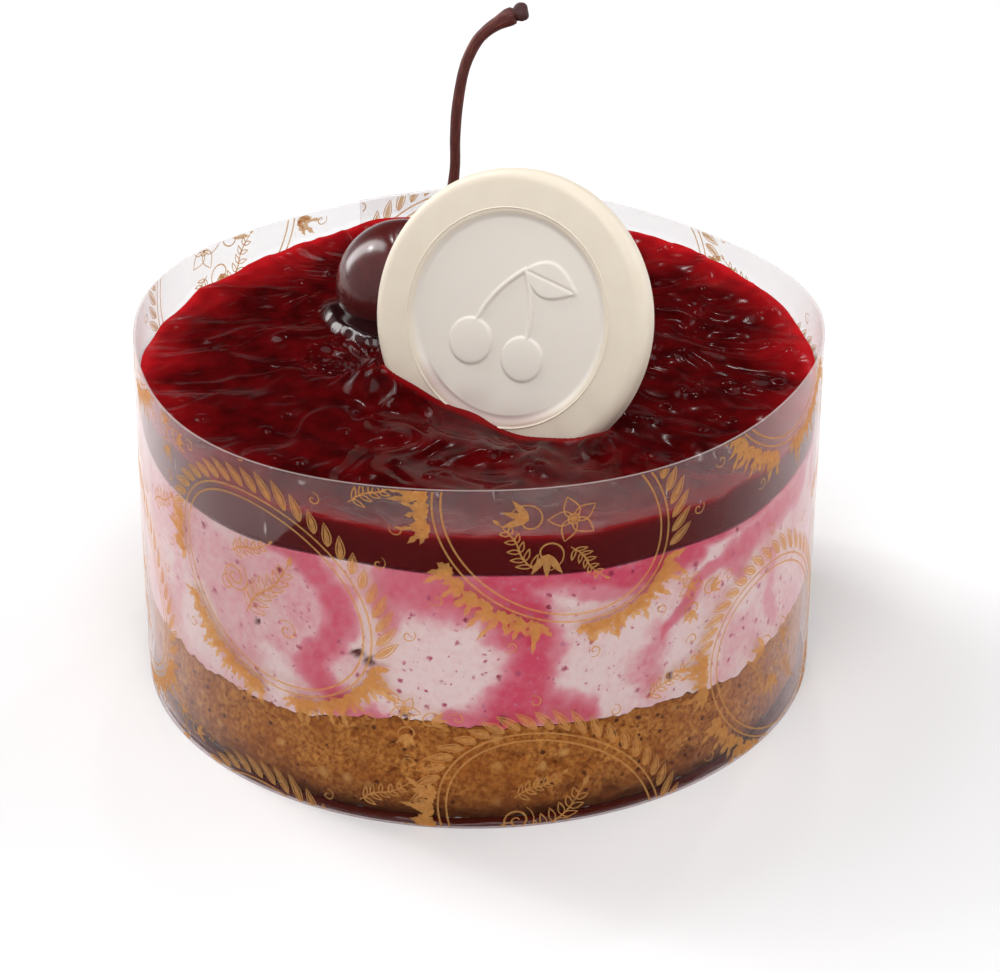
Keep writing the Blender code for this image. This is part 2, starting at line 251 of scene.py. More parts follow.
def shape_layer(bm, bottom, top, side):
    """Move a unit drum onto the heights bottom(x, y) and top(x, y) and the radius side(angle, z)."""
    for vert in bm.verts:
        angle = math.atan2(vert.co.y, vert.co.x)
        share = math.hypot(vert.co.x, vert.co.y)
        place = ring_point(angle, FILM_RADIUS * share)
        low = bottom(place.x, place.y)
        z = low + vert.co.z * (top(place.x, place.y) - low)
        vert.co = ring_point(angle, share * side(angle, z), z)


def add_piece(name, bm, material, node=None, sharp=60.0):
    """Make a finished bmesh a piece that rides on the cake and stands for its node."""
    mesh = bpy.data.meshes.new(name)
    bm.to_mesh(mesh)
    bm.free()
    mesh.shade_smooth()
    if sharp:
        mesh.set_sharp_from_angle(angle=math.radians(sharp))
    mesh.materials.append(material)
    piece = bpy.data.objects.new(name, mesh)
    bpy.context.scene.collection.objects.link(piece)
    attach(piece, "root")
    if node:
        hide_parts(node)
    return piece


def crumb_pit(place):
    """How deep a point of the pressed side lies: the crumbs, their grains and a few holes."""
    crumb = CRUMB_DEPTH * (0.5 + 0.5 * noise.noise(place / CRUMB_SIZE))
    near, second = noise.voronoi(place / GRAIN_SIZE)[0][:2]
    grain = GRAIN_DEPTH * (1.0 - smooth_step(0.0, 0.35, second - near))
    hole = PIT_DEPTH * smooth_step(0.36, 0.62, noise.noise(place / PIT_SIZE + Vector((7.3, 1.1, 4.2))))
    return crumb + grain + hole


def biscuit_side(angle, z):
    radius = cake_radius(angle, z)
    foot = 1.0 - smooth_step(0.0, BISCUIT_FOOT_SHARE, z / BISCUIT_HEIGHT)
    return radius - crumb_pit(ring_point(angle, radius, z)) - BISCUIT_FOOT_INSET * foot


def lay_color(tree, under, code, pattern, low=0.0, high=1.0, most=1.0):
    """Lay a colour over another: none where the pattern is low, the most where it is high.
    The pattern is an output, or the name of an attribute."""
    if isinstance(pattern, str):
        pattern = add_node(tree, "Attribute", out="Fac", attribute_name=pattern)
    share = add_node(tree, "MapRange", Value=pattern, From_Min=low, From_Max=high, To_Max=most)
    return add_node(tree, "Mix", {0: share, 6: under, 7: srgb(code)}, 2, data_type="RGBA")


def add_specks(tree, under, code, place, spacing, edge, core, kept, channel="Red", most=1.0,
               sized=False):
    """Scatter specks of a colour, one to a cell: none outside the edge, full in the core, and
    only in cells whose chance number is over kept. That number also sizes them if asked."""
    cells = add_node(tree, "TexVoronoi", Vector=place, Scale=1 / spacing)
    chance = add_node(tree, "SeparateColor", Color=cells.node.outputs["Color"], out=channel)
    reach = add_node(tree, "Math", {0: cells, 1: chance}, operation="DIVIDE") if sized else cells
    spot = add_node(tree, "MapRange", Value=reach, From_Min=edge, From_Max=core)
    chosen = add_node(tree, "Math", {0: chance, 1: kept}, operation="GREATER_THAN")
    share = add_node(tree, "Math", {0: spot, 1: chosen}, operation="MULTIPLY")
    return lay_color(tree, under, code, share, most=most)


# Pressed biscuit crumb: dry, matt and grainy, with dark specks, pale flour-rich crumbs,
# painted shade in the hollows between the grains, and a colour that darkens towards the foot.
biscuit_material, tree, coords = start_material("pressed_biscuit_crumb")
clumps = add_node(tree, "TexNoise", Vector=coords, Scale=1 / (4.5 * MM), Detail=4.0)
grains = add_node(tree, "TexNoise", Vector=coords, Scale=1 / (0.55 * MM), Detail=5.0, Roughness=0.65)
height = add_node(tree, "SeparateXYZ", Vector=coords, out="Z")
crumb_color = lay_color(tree, srgb("#af6926"), "#ce8d41", clumps, 0.35, 0.65)
# painted shade: darker where the grain bump lies low, in the hollows between the grains
crumb_color = lay_color(tree, crumb_color, "#8e4d17", grains, 0.62, 0.40)
crumb_color = add_specks(tree, crumb_color, "#daa65f", coords, 2.3 * MM, 0.34, 0.10, 0.70, most=0.6)
crumb_color = add_specks(tree, crumb_color, "#54280c", coords, 1.1 * MM, 0.30, 0.16, 0.72, "Green")
# darker brown towards the foot, over the lowest few millimetres
crumb_color = lay_color(tree, crumb_color, "#5c290d", height, 5.6 * MM, 0.8 * MM, 0.78)
crumb_bump = add_node(tree, "Bump", Height=grains, Strength=0.6, Distance=0.12 * MM)
add_node(tree, "OutputMaterial", Surface=add_node(
    tree, "BsdfPrincipled", Base_Color=crumb_color, Roughness=0.85, Specular_IOR_Level=0.25,
    Normal=crumb_bump))

bm = spin_profile(drum_profile((0.6, 0.9), BISCUIT_ROWS), BISCUIT_SEGMENTS)
shape_layer(bm, lambda x, y: 0.0, lambda x, y: biscuit_top(x, y) - 0.5 * GAP, biscuit_side)
add_piece("biscuit_crumb", bm, biscuit_material, "biscuit_base")


# ---------------------------------------------------------------- cheese layer
# Whipped cream cheese, spooned in over the biscuit with cherry syrup half folded through it.
# The film has smeared the syrup into soft pink streaks round white spoonfuls.
CHEESE_HEIGHT = 30.15 * MM
CHEESE_FALL = -0.023
CHEESE_WAVES = ((3, 0.22 * MM, 0.8), (7, 0.16 * MM, 2.6), (13, 0.10 * MM, 5.1))
CHEESE_DISH_HEIGHT = 27.9 * MM
CHEESE_RIM_SHARES = (0.72, 0.95)
CHEESE_SEGMENTS = 720
CHEESE_ROWS = 58
# Streaks of syrup: points as distance round the side from the front and height, then the
# streak's half width and strength. All in millimetres.
SYRUP_STREAKS = (
    (((-21.5, 31.5), (-17.6, 29.6), (-14.9, 26.6), (-14.8, 23.4), (-16.4, 20.0), (-17.6, 16.6),
      (-15.6, 14.4)), 2.1, 0.85),
    (((-17.6, 16.6), (-14.0, 13.6), (-10.5, 12.6)), 1.6, 0.70),
    (((-8.6, 30.5), (-6.0, 27.6), (-1.0, 27.3), (1.5, 29.0)), 2.6, 0.80),
    (((-9.6, 28.0), (-8.4, 24.5)), 1.6, 0.50),
    (((2.6, 30.2), (4.6, 26.0), (5.2, 20.5), (4.7, 16.0), (3.0, 13.4)), 2.9, 1.0),
    (((3.4, 15.0), (0.0, 13.2), (-3.0, 12.6)), 1.3, 0.80),
    (((5.0, 16.5), (8.6, 13.8), (11.0, 12.4)), 1.9, 0.85),
    (((5.0, 30.4), (12.0, 29.4), (19.0, 28.6), (24.0, 28.2)), 2.0, 1.0),
    (((12.0, 27.6), (18.0, 26.4)), 1.4, 0.55),
    (((46.0, 27.6), (40.0, 27.2), (34.0, 26.9), (30.5, 26.0)), 2.2, 0.85),
    (((30.5, 26.0), (27.4, 25.2), (24.5, 24.3), (21.4, 22.6), (19.4, 20.6)), 0.8, 0.75),
    (((19.4, 20.6), (17.6, 17.4), (18.2, 13.8)), 1.8, 0.38),
    (((37.8, 22.5), (36.8, 17.5), (38.2, 13.0)), 1.5, 0.40),
    (((-33.0, 29.6), (-28.6, 26.4), (-26.0, 21.6), (-27.5, 16.0)), 3.2, 0.26),
    (((-42.0, 27.5), (-38.5, 22.0), (-39.5, 15.0)), 1.6, 0.25),
    (((-23.4, 27.4), (-21.8, 23.0)), 1.4, 0.22))
# White spoonfuls that the syrup has gone round: middle, then half width and half height.
SPOONFULS = ((-4.4, 20.6, 6.6, 5.2), (-4.6, 15.0, 7.4, 3.6), (14.4, 20.4, 6.0, 3.4),
             (14.0, 15.0, 6.2, 4.6), (24.4, 16.6, 4.8, 6.4), (-24.6, 15.0, 5.0, 3.6),
             (31.6, 21.6, 3.0, 4.0), (-12.0, 22.4, 1.8, 4.2), (-34.5, 17.0, 4.0, 5.0))
AIR_HOLES = ((-12.6, 20.0, 1.0, 0.5), (-11.4, 19.3, 0.5, 0.7), (-24.8, 20.6, 0.35, 0.6),
             (2.4, 12.9, 0.5, 0.4), (-7.6, 13.2, 0.6, 0.35), (21.0, 14.5, 0.3, 0.4))
AIR_HOLE_DEPTH = 0.35 * MM
SYRUP_WANDER = 1.6                      # how far, in mm, the smeared edges stray
BLEED_DEPTHS = (0.2 * MM, 1.5 * MM)     # glaze has bled this far down, right of this angle from
BLEED_ANGLES = (-0.45, -0.05)           # the front
BLUSH = 0.20                            # syrup that has gone into the cheese everywhere
HIDDEN_STREAKS = 11                     # streaks and spoonfuls drawn by chance round the back,
HIDDEN_FROM = 50.0                      # more than this many mm round from the front


def cheese_top(x, y):
    angle, share = from_front(x, y)
    rim = CHEESE_HEIGHT + CHEESE_FALL * x + wave_sum(CHEESE_WAVES, angle)
    return CHEESE_DISH_HEIGHT + smooth_step(*CHEESE_RIM_SHARES, share) * (rim - CHEESE_DISH_HEIGHT)


def distance_to_line(point, line):
    """Distance from a point to a chain of straight stretches, in the same unit."""
    best = 1e9
    for start, end in zip(line, line[1:]):
        along = end - start
        t = max(0.0, min(1.0, (point - start).dot(along) / along.length_squared))
        best = min(best, (point - start - along * t).length)
    return best


draw = random.Random(7)
full_round = 2.0 * math.pi * FILM_RADIUS / MM
streaks = [([Vector(p) for p in points], width, strength) for points, width, strength in SYRUP_STREAKS]
spoonfuls = list(SPOONFULS)
for index in range(HIDDEN_STREAKS):
    across = HIDDEN_FROM + (full_round - 2.0 * HIDDEN_FROM) * (index + 0.5) / HIDDEN_STREAKS
    line = [Vector((across + draw.uniform(-5, 5), z)) for z in (31.0, 26.0, 20.0, 13.0)]
    streaks.append((line, draw.uniform(1.2, 3.0), draw.uniform(0.4, 1.0)))
    spoonfuls.append((across + draw.uniform(4, 7), draw.uniform(15, 24),
                      draw.uniform(3, 6), draw.uniform(3, 6)))
SEAM = -52.0                            # distances round the side run on from here


def along_side(point):
    """The same place on the side with its distance round between the seam and a full turn."""
    return Vector(((point.x - SEAM) % full_round + SEAM, point.y))


def side_place(angle, z):
    """Place on the cake's side in millimetres, the angle taken from the front."""
    return Vector((math.sin(angle), math.cos(angle), z / FILM_RADIUS)) * (FILM_RADIUS / MM)


def oval_reach(point, oval):
    """How far from an oval's middle a point lies: 1 on its outline."""
    across, middle, half_width, half_height = oval
    return math.hypot((point.x - across) / half_width, (point.y - middle) / half_height)


def hole_share(angle, z):
    """1 in the middle of a torn air hole at the side, 0 outside them all."""
    place = side_place(angle, z) / 0.7
    torn = Vector((noise.noise(place), noise.noise(place + Vector((4.0, 2.0, 1.0)))))
    point = Vector((angle * FILM_RADIUS / MM, z / MM)) + 0.5 * torn
    return max(1.0 - smooth_step(0.5, 1.2, oval_reach(point, hole)) for hole in AIR_HOLES)


def syrup_share(angle, z):
    """Share of syrup in the cheese at a place on its side: 0 is white, 1 a strong pink."""
    place = side_place(angle, z)
    stray = Vector((noise.noise(place / 5.0), noise.noise(place / 5.0 + Vector((3.1, 8.2, 5.5)))))
    stray += 0.5 * Vector((noise.noise(place / 1.6), noise.noise(place / 1.6 + Vector((6.1, 2.2, 1.5)))))
    point = along_side(Vector((angle * FILM_RADIUS / MM, z / MM)) + SYRUP_WANDER * stray)
    share = BLUSH * (0.8 + 1.4 * noise.noise(place / 6.0 + Vector((1.0, 5.0, 2.0))))
    for spoonful in spoonfuls:
        if abs(point.x - spoonful[0]) < 1.3 * spoonful[2]:
            share *= smooth_step(0.70, 1.20, oval_reach(point, spoonful)) * 0.9 + 0.1
    for line, width, strength in streaks:
        near = min(p.x for p in line) - 2 * width < point.x < max(p.x for p in line) + 2 * width
        away = distance_to_line(point, line) if near else 2 * width
        if away < 2 * width:
            core = strength * (1.0 - smooth_step(0.35 * width, 1.6 * width, away))
            share = max(share, core * (0.95 + 0.15 * noise.noise(place / 1.0)))
    side = Vector((math.sin(angle), -math.cos(angle))) * FILM_RADIUS
    under_glaze = 1.0 - smooth_step(*BLEED_DEPTHS, cheese_top(*side) - z)
    bleed = under_glaze * smooth_step(*BLEED_ANGLES, angle) * (0.75 + 0.6 * noise.noise(place / 2.5))
    return min(max(share, bleed, 0.0), 1.0)


# Whipped cream cheese with cherry syrup: an opaque, satin, slightly greasy white with light
# going a little way in, specked with bits of cherry skin and flesh.
cheese_material, tree, coords = start_material("whipped_cheese_and_syrup")
mottle = add_node(tree, "TexNoise", Vector=coords, Scale=1 / (0.8 * MM), Detail=4.0, Roughness=0.6)
mottle_push = add_node(tree, "MapRange", Value=mottle, To_Min=-0.22, To_Max=0.22)
syrup = add_node(tree, "Attribute", out="Fac", attribute_name="syrup")
syrup = add_node(tree, "Math", {0: syrup, 1: mottle_push}, operation="ADD", use_clamp=True)
cheese_color = lay_color(tree, srgb("#efd8d5"), "#e0949f", syrup, 0.0, 0.4)
cheese_color = lay_color(tree, cheese_color, "#d44c68", syrup, 0.4, 1.0)
torn = add_node(tree, "TexNoise", Vector=coords, Scale=1 / (0.5 * MM), Detail=1.0, out="Color")
torn_place = add_node(tree, "VectorMath", {0: torn, 1: (0.6 * MM,) * 3, 2: coords},
                      operation="MULTIPLY_ADD")
for spacing, near, kept, code in ((0.8 * MM, 0.34, 0.40, "#c87890"), (1.5 * MM, 0.30, 0.50, "#b4506c"),
                                  (2.8 * MM, 0.20, 0.60, "#96284a")):
    cheese_color = add_specks(tree, cheese_color, code, torn_place, spacing, near, 0.4 * near, kept,
                              sized=True)
# painted shade inside the torn air holes at the side
cheese_color = lay_color(tree, cheese_color, "#6a3b38", "hole")
cheese_bump = add_node(tree, "Bump", Height=mottle, Strength=0.25, Distance=0.08 * MM)
add_node(tree, "OutputMaterial", Surface=add_node(
    tree, "BsdfPrincipled", Base_Color=cheese_color, Roughness=0.5, Specular_IOR_Level=0.12,
    Subsurface_Weight=0.15, Subsurface_Radius=(1.0, 0.55, 0.5), Subsurface_Scale=1.2 * MM,
    Normal=cheese_bump))

bm = spin_profile(drum_profile(LAYER_RINGS, CHEESE_ROWS), CHEESE_SEGMENTS)
shape_layer(bm, lambda x, y: biscuit_top(x, y) + 0.5 * GAP, lambda x, y: cheese_top(x, y) - 0.5 * GAP,
            cake_radius)
syrup_layer = bm.verts.layers.float.new("syrup")
hole_layer = bm.verts.layers.float.new("hole")
for vert in bm.verts:
    angle, share = from_front(vert.co.x, vert.co.y)
    if share > 0.9:
        vert[syrup_layer] = syrup_share(angle, vert.co.z)
        vert[hole_layer] = hole_share(angle, vert.co.z)
        sink = 1.0 - AIR_HOLE_DEPTH * vert[hole_layer] / FILM_RADIUS
        vert.co = (vert.co.x * sink, vert.co.y * sink, vert.co.z)
add_piece("cheese_and_syrup", bm, cheese_material, "cheese_layer")


# ---------------------------------------------------------------- cherry glaze
# Sieved cherries set with a little pectin, spread over the cheese with a spatula that left
# curved ridges, and full of small lumps of fruit. It clings to the film, cherry and medallion.
GLAZE_HEIGHT = 35.25 * MM
GLAZE_LOBES = ((1, -0.36 * MM, 1.24 * MM), (2, -0.66 * MM, 0.87 * MM),
               (4, -0.29 * MM, 0.41 * MM))
GLAZE_RIPPLES = ((9.5 * MM, 0.18 * MM, 1.35, 0.4), (14.0 * MM, 0.14 * MM, 1.75, 2.1),
                 (7.5 * MM, 0.10 * MM, 1.10, 4.4))
RIPPLE_BEND = 1.2
RIPPLE_BEND_LENGTH = 3.0
GLAZE_SWELLS = ((Vector((-10.8, -4.8)) * MM, 1.6 * MM, 3.0 * MM),
                (Vector((-7.2, -7.2)) * MM, 0.8 * MM, 3.4 * MM),
                (Vector((4.6, -14.4)) * MM, -1.1 * MM, 5.0 * MM),
                (Vector((13.0, -18.2)) * MM, 0.9 * MM, 2.4 * MM))
GLAZE_LIP = 0.35 * MM
GLAZE_LIP_SHARES = (0.90, 0.98)
CHERRY_CENTRE = Vector((-8.07, 14.9, 37.9)) * MM
GLAZE_CELLS = 280                       # faces across the round top
GLAZE_SIDE = ((0.03, 0.90), (0.07, 0.55), (0.13, 0.22), (0.22, 0.06),    # rows down the side: share, painted glow of light through the glaze
              (0.45, 0.0), (0.75, 0.0), (1.0, 0.0))                      # share, how thin it looks
GLAZE_UNDERSIDE = (0.86, 0.72, 0.3)     # rings of the underside, as shares of the radius
RIDGE_CENTRE = Vector((-2.0, 18.5)) * MM     # the spatula's ridges run out from this point
RIDGES_ROUND = 7.5                      # ridges to each radian round it
RIDGE_LENGTH = 9.0 * MM
RIDGE_HEIGHT = 0.50 * MM
LUMP_SIZE = 2.2 * MM                    # spacing of the lumps of fruit
LUMP_HEIGHT = 0.36 * MM
LUMPS_ACROSS = (-10.0 * MM, 22.0 * MM)  # they grow plentiful from left to right,
LUMPS_ALONG = (4.0 * MM, -24.0 * MM)    # and from the back to the front
FOLD_CENTRE = Vector((-11.0, 0.4)) * MM     # glaze drawn up between cherry and medallion
FOLD_COUNT = 23
FOLD_HEIGHT = 0.24 * MM
FOLD_REACH = 5.5 * MM
CLING_HEIGHT = 0.35 * MM                # how far the glaze climbs a piece that stands in it
CLING_REACH = 0.7 * MM
CHERRY_CALM = 5.0 * MM                  # the relief dies away within this of the cherry,
DISC_CALM = 1.4 * MM                    # and of the medallion
LOBE_HEIGHT = 1.25 * MM
LOBE_EDGE = 1.5 * MM                    # width of the slope round the lobe, whose distance from
LOBE_LINE = ((-180, 9.0), (150, 9.0), (207, 9.5), (227, 10.4),      # the cherry's middle goes
             (238, 11.0), (250, 12.0), (275, 12.0))                 # by the angle round it
LOBE_START = (165.0, 200.0)             # the angles over which it rises, and falls again
LOBE_END = (290.0, 255.0)


def tree_of(node):
    """Search tree over a CAD node's faces, for distances to it."""
    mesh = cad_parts[node].data
    return BVHTree.FromPolygons([v.co for v in mesh.vertices], [p.vertices for p in mesh.polygons])


cherry_faces = tree_of("cherry")
disc_faces = tree_of("white_chocolate_disc")


def glaze_level(x, y):
    """The glaze's broad form: its tilt and sag, slow ripples, swells and lip at the film."""
    angle, share = math.atan2(y, x), math.hypot(x, y) / FILM_RADIUS
    level = GLAZE_HEIGHT
    for length, height, turn, phase in GLAZE_RIPPLES:
        along = x * math.cos(turn) + y * math.sin(turn)
        bend = RIPPLE_BEND * math.sin((x - 0.5 * y) / (RIPPLE_BEND_LENGTH * length) + phase)
        level += height * math.sin(2.0 * math.pi * along / length + bend + phase)
    for n, c, s in GLAZE_LOBES:
        level += share ** n * (c * math.cos(n * angle) + s * math.sin(n * angle))
    for place, height, spread in GLAZE_SWELLS:
        away = (Vector((x, y)) - place).length / spread
        level += height * math.exp(-away * away)
    return level + GLAZE_LIP * smooth_step(*GLAZE_LIP_SHARES, share)


def ridge_relief(x, y):
    """Broken ridges that fan out from their centre, sharp on top and round in the furrow."""
    out = Vector((x, y)) - RIDGE_CENTRE
    reach = out.length / RIDGE_LENGTH
    turn = out.normalized() * RIDGES_ROUND
    stray = 0.7 * noise.noise(Vector((x, y, 0.0)) / (5.0 * MM))
    first = noise.noise(Vector((turn.x + stray, turn.y - stray, reach)))
    second = noise.noise(Vector((2.1 * turn.x, 2.1 * turn.y, 1.8 * reach + 9.0)))
    crest = 1.0 - smooth_step(0.0, 1.0, abs(1.7 * first))
    small = 1.0 - smooth_step(0.0, 1.0, abs(1.8 * second))
    return RIDGE_HEIGHT * min(1.0, 0.4 + 0.3 * reach) * (crest + 0.14 * small - 0.45)


def lump_relief(x, y):
    """Rounded lumps of fruit, more of them at the right and along the front."""
    place = Vector((x, y, 0.0)) / LUMP_SIZE
    near = noise.voronoi(place)
    pick = noise.cell(near[1][0] * 7.31)
    plenty = 0.25 + 0.5 * smooth_step(*LUMPS_ACROSS, x) + 0.25 * smooth_step(*LUMPS_ALONG, y)
    if pick > plenty:
        return 0.0
    size = 0.24 + 0.22 * (pick / plenty)
    dome = max(0.0, 1.0 - (near[0][0] / size) ** 2) ** 0.7
    return LUMP_HEIGHT * (0.45 + 0.55 * pick) * dome


def fold_relief(x, y):
    """Folds that run out like rays from where the glaze was drawn up."""
    out = Vector((x, y)) - FOLD_CENTRE
    reach = out.length / FOLD_REACH
    turn = math.atan2(out.y, out.x)
    ray = math.sin(FOLD_COUNT * turn + 3.0 * noise.noise(Vector((x, y, 0.0)) / (3.0 * MM)))
    return FOLD_HEIGHT * ray * min(1.0, 2.5 * reach) * math.exp(-(reach - 0.5) ** 2 * 1.6)


def read_table(rows, value):
    """Straight-line reading of a table of (place, size) rows."""
    for (a, low), (b, high) in zip(rows, rows[1:]):
        if value <= b:
            return low + (high - low) * max(0.0, (value - a) / (b - a))
    return rows[-1][1]


def lobe_share(x, y):
    """1 on the smooth lobe that the cherry pushed up at its front left, 0 outside its edge."""
    out = Vector((x, y)) - CHERRY_CENTRE.xy
    turn = math.degrees(math.atan2(out.y, out.x)) % 360.0
    strength = smooth_step(*LOBE_START, turn) * smooth_step(*LOBE_END, turn)
    line = read_table(LOBE_LINE, turn) * MM
    return strength * smooth_step(line + 0.5 * LOBE_EDGE, line - 0.5 * LOBE_EDGE, out.length)


def glaze_height(x, y):
    level = glaze_level(x, y)
    place = Vector((x, y, level))
    share = math.hypot(x, y) / FILM_RADIUS
    lobe = lobe_share(x, y)
    calm = (1.0 - 0.75 * smooth_step(0.93, 0.99, share)) * (1.0 - 0.85 * lobe)
    relief = ridge_relief(x, y) + lump_relief(x, y) + fold_relief(x, y)
    cling = 0.0
    for faces, calm_reach in ((cherry_faces, CHERRY_CALM), (disc_faces, DISC_CALM)):
        away = faces.find_nearest(place)[3]
        calm *= smooth_step(0.0, calm_reach, away)
        cling += CLING_HEIGHT * math.exp(-away / CLING_REACH)
    return level + calm * relief + cling + LOBE_HEIGHT * lobe


def extrude_rim(bm, rim):
    """Extrude a loop of edges, and give the new loop's edges and vertices."""
    new = bmesh.ops.extrude_edge_only(bm, edges=rim)["geom"]
    return ([item for item in new if isinstance(item, bmesh.types.BMEdge)],
            [item for item in new if isinstance(item, bmesh.types.BMVert)])


# Set fruit glaze: wet and mirror smooth over soft lumps and very dark. Its thin edges, against
# the film and the medallion, get a painted red glow for the light through them, and its lobe a
# painted shade and dark reflection of the cherry. The pooled lobe is the glossier.
glaze_materials = []
for finish, shine in (("set_cherry_glaze", 0.07), ("pooled_cherry_glaze", 0.40)):
    glaze_material, tree, coords = start_material(finish)
    glaze_materials.append(glaze_material)
    pulp = add_node(tree, "TexNoise", Vector=coords, Scale=1 / (2.6 * MM), Detail=5.0, Roughness=0.6)
    glaze_color = lay_color(tree, srgb("#2e0203"), "#4e0406", pulp, 0.35, 0.70)
    # painted glow of light shining through the thin glaze
    glaze_color = lay_color(tree, glaze_color, "#ac141a", "painted_glow")
    # painted shade and dark reflection of the cherry on the lobe under it
    glaze_color = lay_color(tree, glaze_color, "#1a0203", "deep")
    gloss = add_node(tree, "MapRange", Value=pulp, To_Min=0.10, To_Max=0.20)
    fine = add_node(tree, "TexNoise", Vector=coords, Scale=1 / (1.1 * MM), Detail=2.0)
    glaze_bump = add_node(tree, "Bump", Height=fine, Strength=0.15, Distance=0.1 * MM)
    add_node(tree, "OutputMaterial", Surface=add_node(
        tree, "BsdfPrincipled", Base_Color=glaze_color, Roughness=gloss, Specular_IOR_Level=shine,
        Subsurface_Weight=0.1, Subsurface_Radius=(1.0, 0.08, 0.06), Subsurface_Scale=1.0 * MM,
        Normal=glaze_bump))

# The same glaze pressed against the film: with no air between, it has no gloss of its own.
pressed_material, tree, coords = start_material("glaze_against_film")
pulp = add_node(tree, "TexNoise", Vector=coords, Scale=1 / (1.6 * MM), Detail=5.0, Roughness=0.65)
pressed_color = lay_color(tree, srgb("#46090b"), "#601113", pulp)
# painted glow of light shining through the thin glaze near its top edge
pressed_color = lay_color(tree, pressed_color, "#a01218", "painted_glow")
add_node(tree, "OutputMaterial", Surface=add_node(
    tree, "BsdfPrincipled", Base_Color=pressed_color, Roughness=0.6, Specular_IOR_Level=0.03))

bm = bmesh.new()
bmesh.ops.create_grid(bm, x_segments=GLAZE_CELLS, y_segments=GLAZE_CELLS, size=1.0)
painted_glow_layer = bm.verts.layers.float.new("painted_glow")
lobe_shade_layer = bm.verts.layers.float.new("deep")
for vert in bm.verts:                   # the square sheet is drawn out to a round one
    u, v = vert.co.x, vert.co.y
    x, y = u * math.sqrt(1.0 - 0.5 * v * v), v * math.sqrt(1.0 - 0.5 * u * u)
    share, angle = math.hypot(x, y), math.atan2(y, x)
    level = glaze_level(FILM_RADIUS * x, FILM_RADIUS * y)
    x, y = ring_point(angle, share * cake_radius(angle, level)).xy
    vert.co = (x, y, glaze_height(x, y))
    # painted glow: red light through the thin glaze at its rim, strongest at the far side, and next to
    # the medallion
    edge_run = 0.10 * (1.0 + 0.8 * noise.noise(ring_point(angle, 6.0)))
    far_side = 0.30 + 0.65 * smooth_step(-0.8, 0.2, math.sin(angle))
    # the lobe is painted darker: the cherry's shade and dark reflection
    vert[lobe_shade_layer] = lobe_share(x, y)
    at_disc = disc_faces.find_nearest(vert.co)[3]
    edge_light = (0.55 * smooth_step(1.0 - 2.3 * edge_run, 1.0, share) ** 1.6
                  + 0.45 * smooth_step(1.0 - 0.45 * edge_run, 1.0, share))
    edge_light *= 1.0 + 0.45 * noise.noise(Vector((x, y, 0.0)) / (1.7 * MM))
    vert[painted_glow_layer] = max(far_side * edge_light, 0.3 * smooth_step(0.8 * MM, 0.3 * MM, at_disc))
rim = [edge for edge in bm.edges if edge.is_boundary]
done = 0.0
for down, side_glow in GLAZE_SIDE:
    rim, new_verts = extrude_rim(bm, rim)
    for vert in new_verts:
        angle = math.atan2(vert.co.y, vert.co.x)
        low = cheese_top(*ring_point(angle, FILM_RADIUS).xy) + 0.5 * GAP
        z = vert.co.z + (low - vert.co.z) * (down - done) / (1.0 - done)
        vert.co = ring_point(angle, cake_radius(angle, z), z)
        vert[painted_glow_layer] = side_glow
    done = down
for share in GLAZE_UNDERSIDE:
    rim, new_verts = extrude_rim(bm, rim)
    for vert in new_verts:
        x, y = ring_point(math.atan2(vert.co.y, vert.co.x), FILM_RADIUS * share).xy
        vert.co = (x, y, cheese_top(x, y) + 0.5 * GAP)
bmesh.ops.edgeloop_fill(bm, edges=rim)
bmesh.ops.recalc_face_normals(bm, faces=bm.faces)
for face in bm.faces:                   # its wall is pressed on the film, its lobe is pooled
    middle = face.calc_center_median()
    if math.hypot(middle.x, middle.y) > 0.96 * FILM_RADIUS and abs(face.normal.z) < 0.3:
        face.material_index = 1
    elif lobe_share(middle.x, middle.y) > 0.3:
        face.material_index = 2
glaze = add_piece("set_glaze", bm, glaze_materials[0], "cherry_glaze")
glaze.data.materials.append(pressed_material)
glaze.data.materials.append(glaze_materials[1])


# ---------------------------------------------------------------- cherry and stem
# One whole dark cherry, wet from the glaze and sunk in it, leaning to the right. Its woody
# stem was left on, with the bit of spur that it broke from as a knob at the tip.
CHERRY_RADIUS = 7.9 * MM
CHERRY_AXIS = Vector((0.38, -0.22, 0.90)).normalized()
CHERRY_DIMPLE_DEPTH = 0.28
CHERRY_DIMPLE_ANGLE = 0.36
CHERRY_SEAM_DEPTH = 0.02
CHERRY_SEAM_ANGLE = 0.3
CHERRY_DENTS = 0.008                    # shallow unevenness, of the radius

# Ripe cherry skin: a taut, waxy film over near-black flesh, glossy where it is wet.
cherry_material, tree, coords = start_material("ripe_cherry_skin")
flecks = add_node(tree, "TexNoise", Vector=coords, Scale=1 / (1.4 * MM), Detail=4.0)
skin_color = lay_color(tree, srgb("#3c0d0e"), "#561c19", flecks)
skin_bump = add_node(tree, "Bump", Height=flecks, Strength=0.06, Distance=0.15 * MM)
add_node(tree, "OutputMaterial", Surface=add_node(
    tree, "BsdfPrincipled", Base_Color=skin_color, Roughness=0.21, IOR=1.6, Normal=skin_bump))

bm = bmesh.new()
bmesh.ops.create_uvsphere(bm, u_segments=128, v_segments=80, radius=CHERRY_RADIUS)
for vert in bm.verts:
    polar = math.acos(max(-1.0, min(1.0, vert.co.z / CHERRY_RADIUS)))
    turn = math.atan2(vert.co.y, vert.co.x)
    dimple = CHERRY_DIMPLE_DEPTH * math.exp(-(polar / CHERRY_DIMPLE_ANGLE) ** 2)
    seam = CHERRY_SEAM_DEPTH * math.exp(-(turn / CHERRY_SEAM_ANGLE) ** 2) * math.sin(polar)
    dents = CHERRY_DENTS * noise.noise(vert.co / (5.0 * MM)) - CHERRY_DENTS
    vert.co *= 1.0 - dimple - seam + dents
bmesh.ops.transform(bm, verts=bm.verts, matrix=Matrix.Translation(CHERRY_CENTRE)
                    @ CHERRY_AXIS.to_track_quat("Z", "Y").to_matrix().to_4x4())
add_piece("dark_cherry", bm, cherry_material, "cherry")

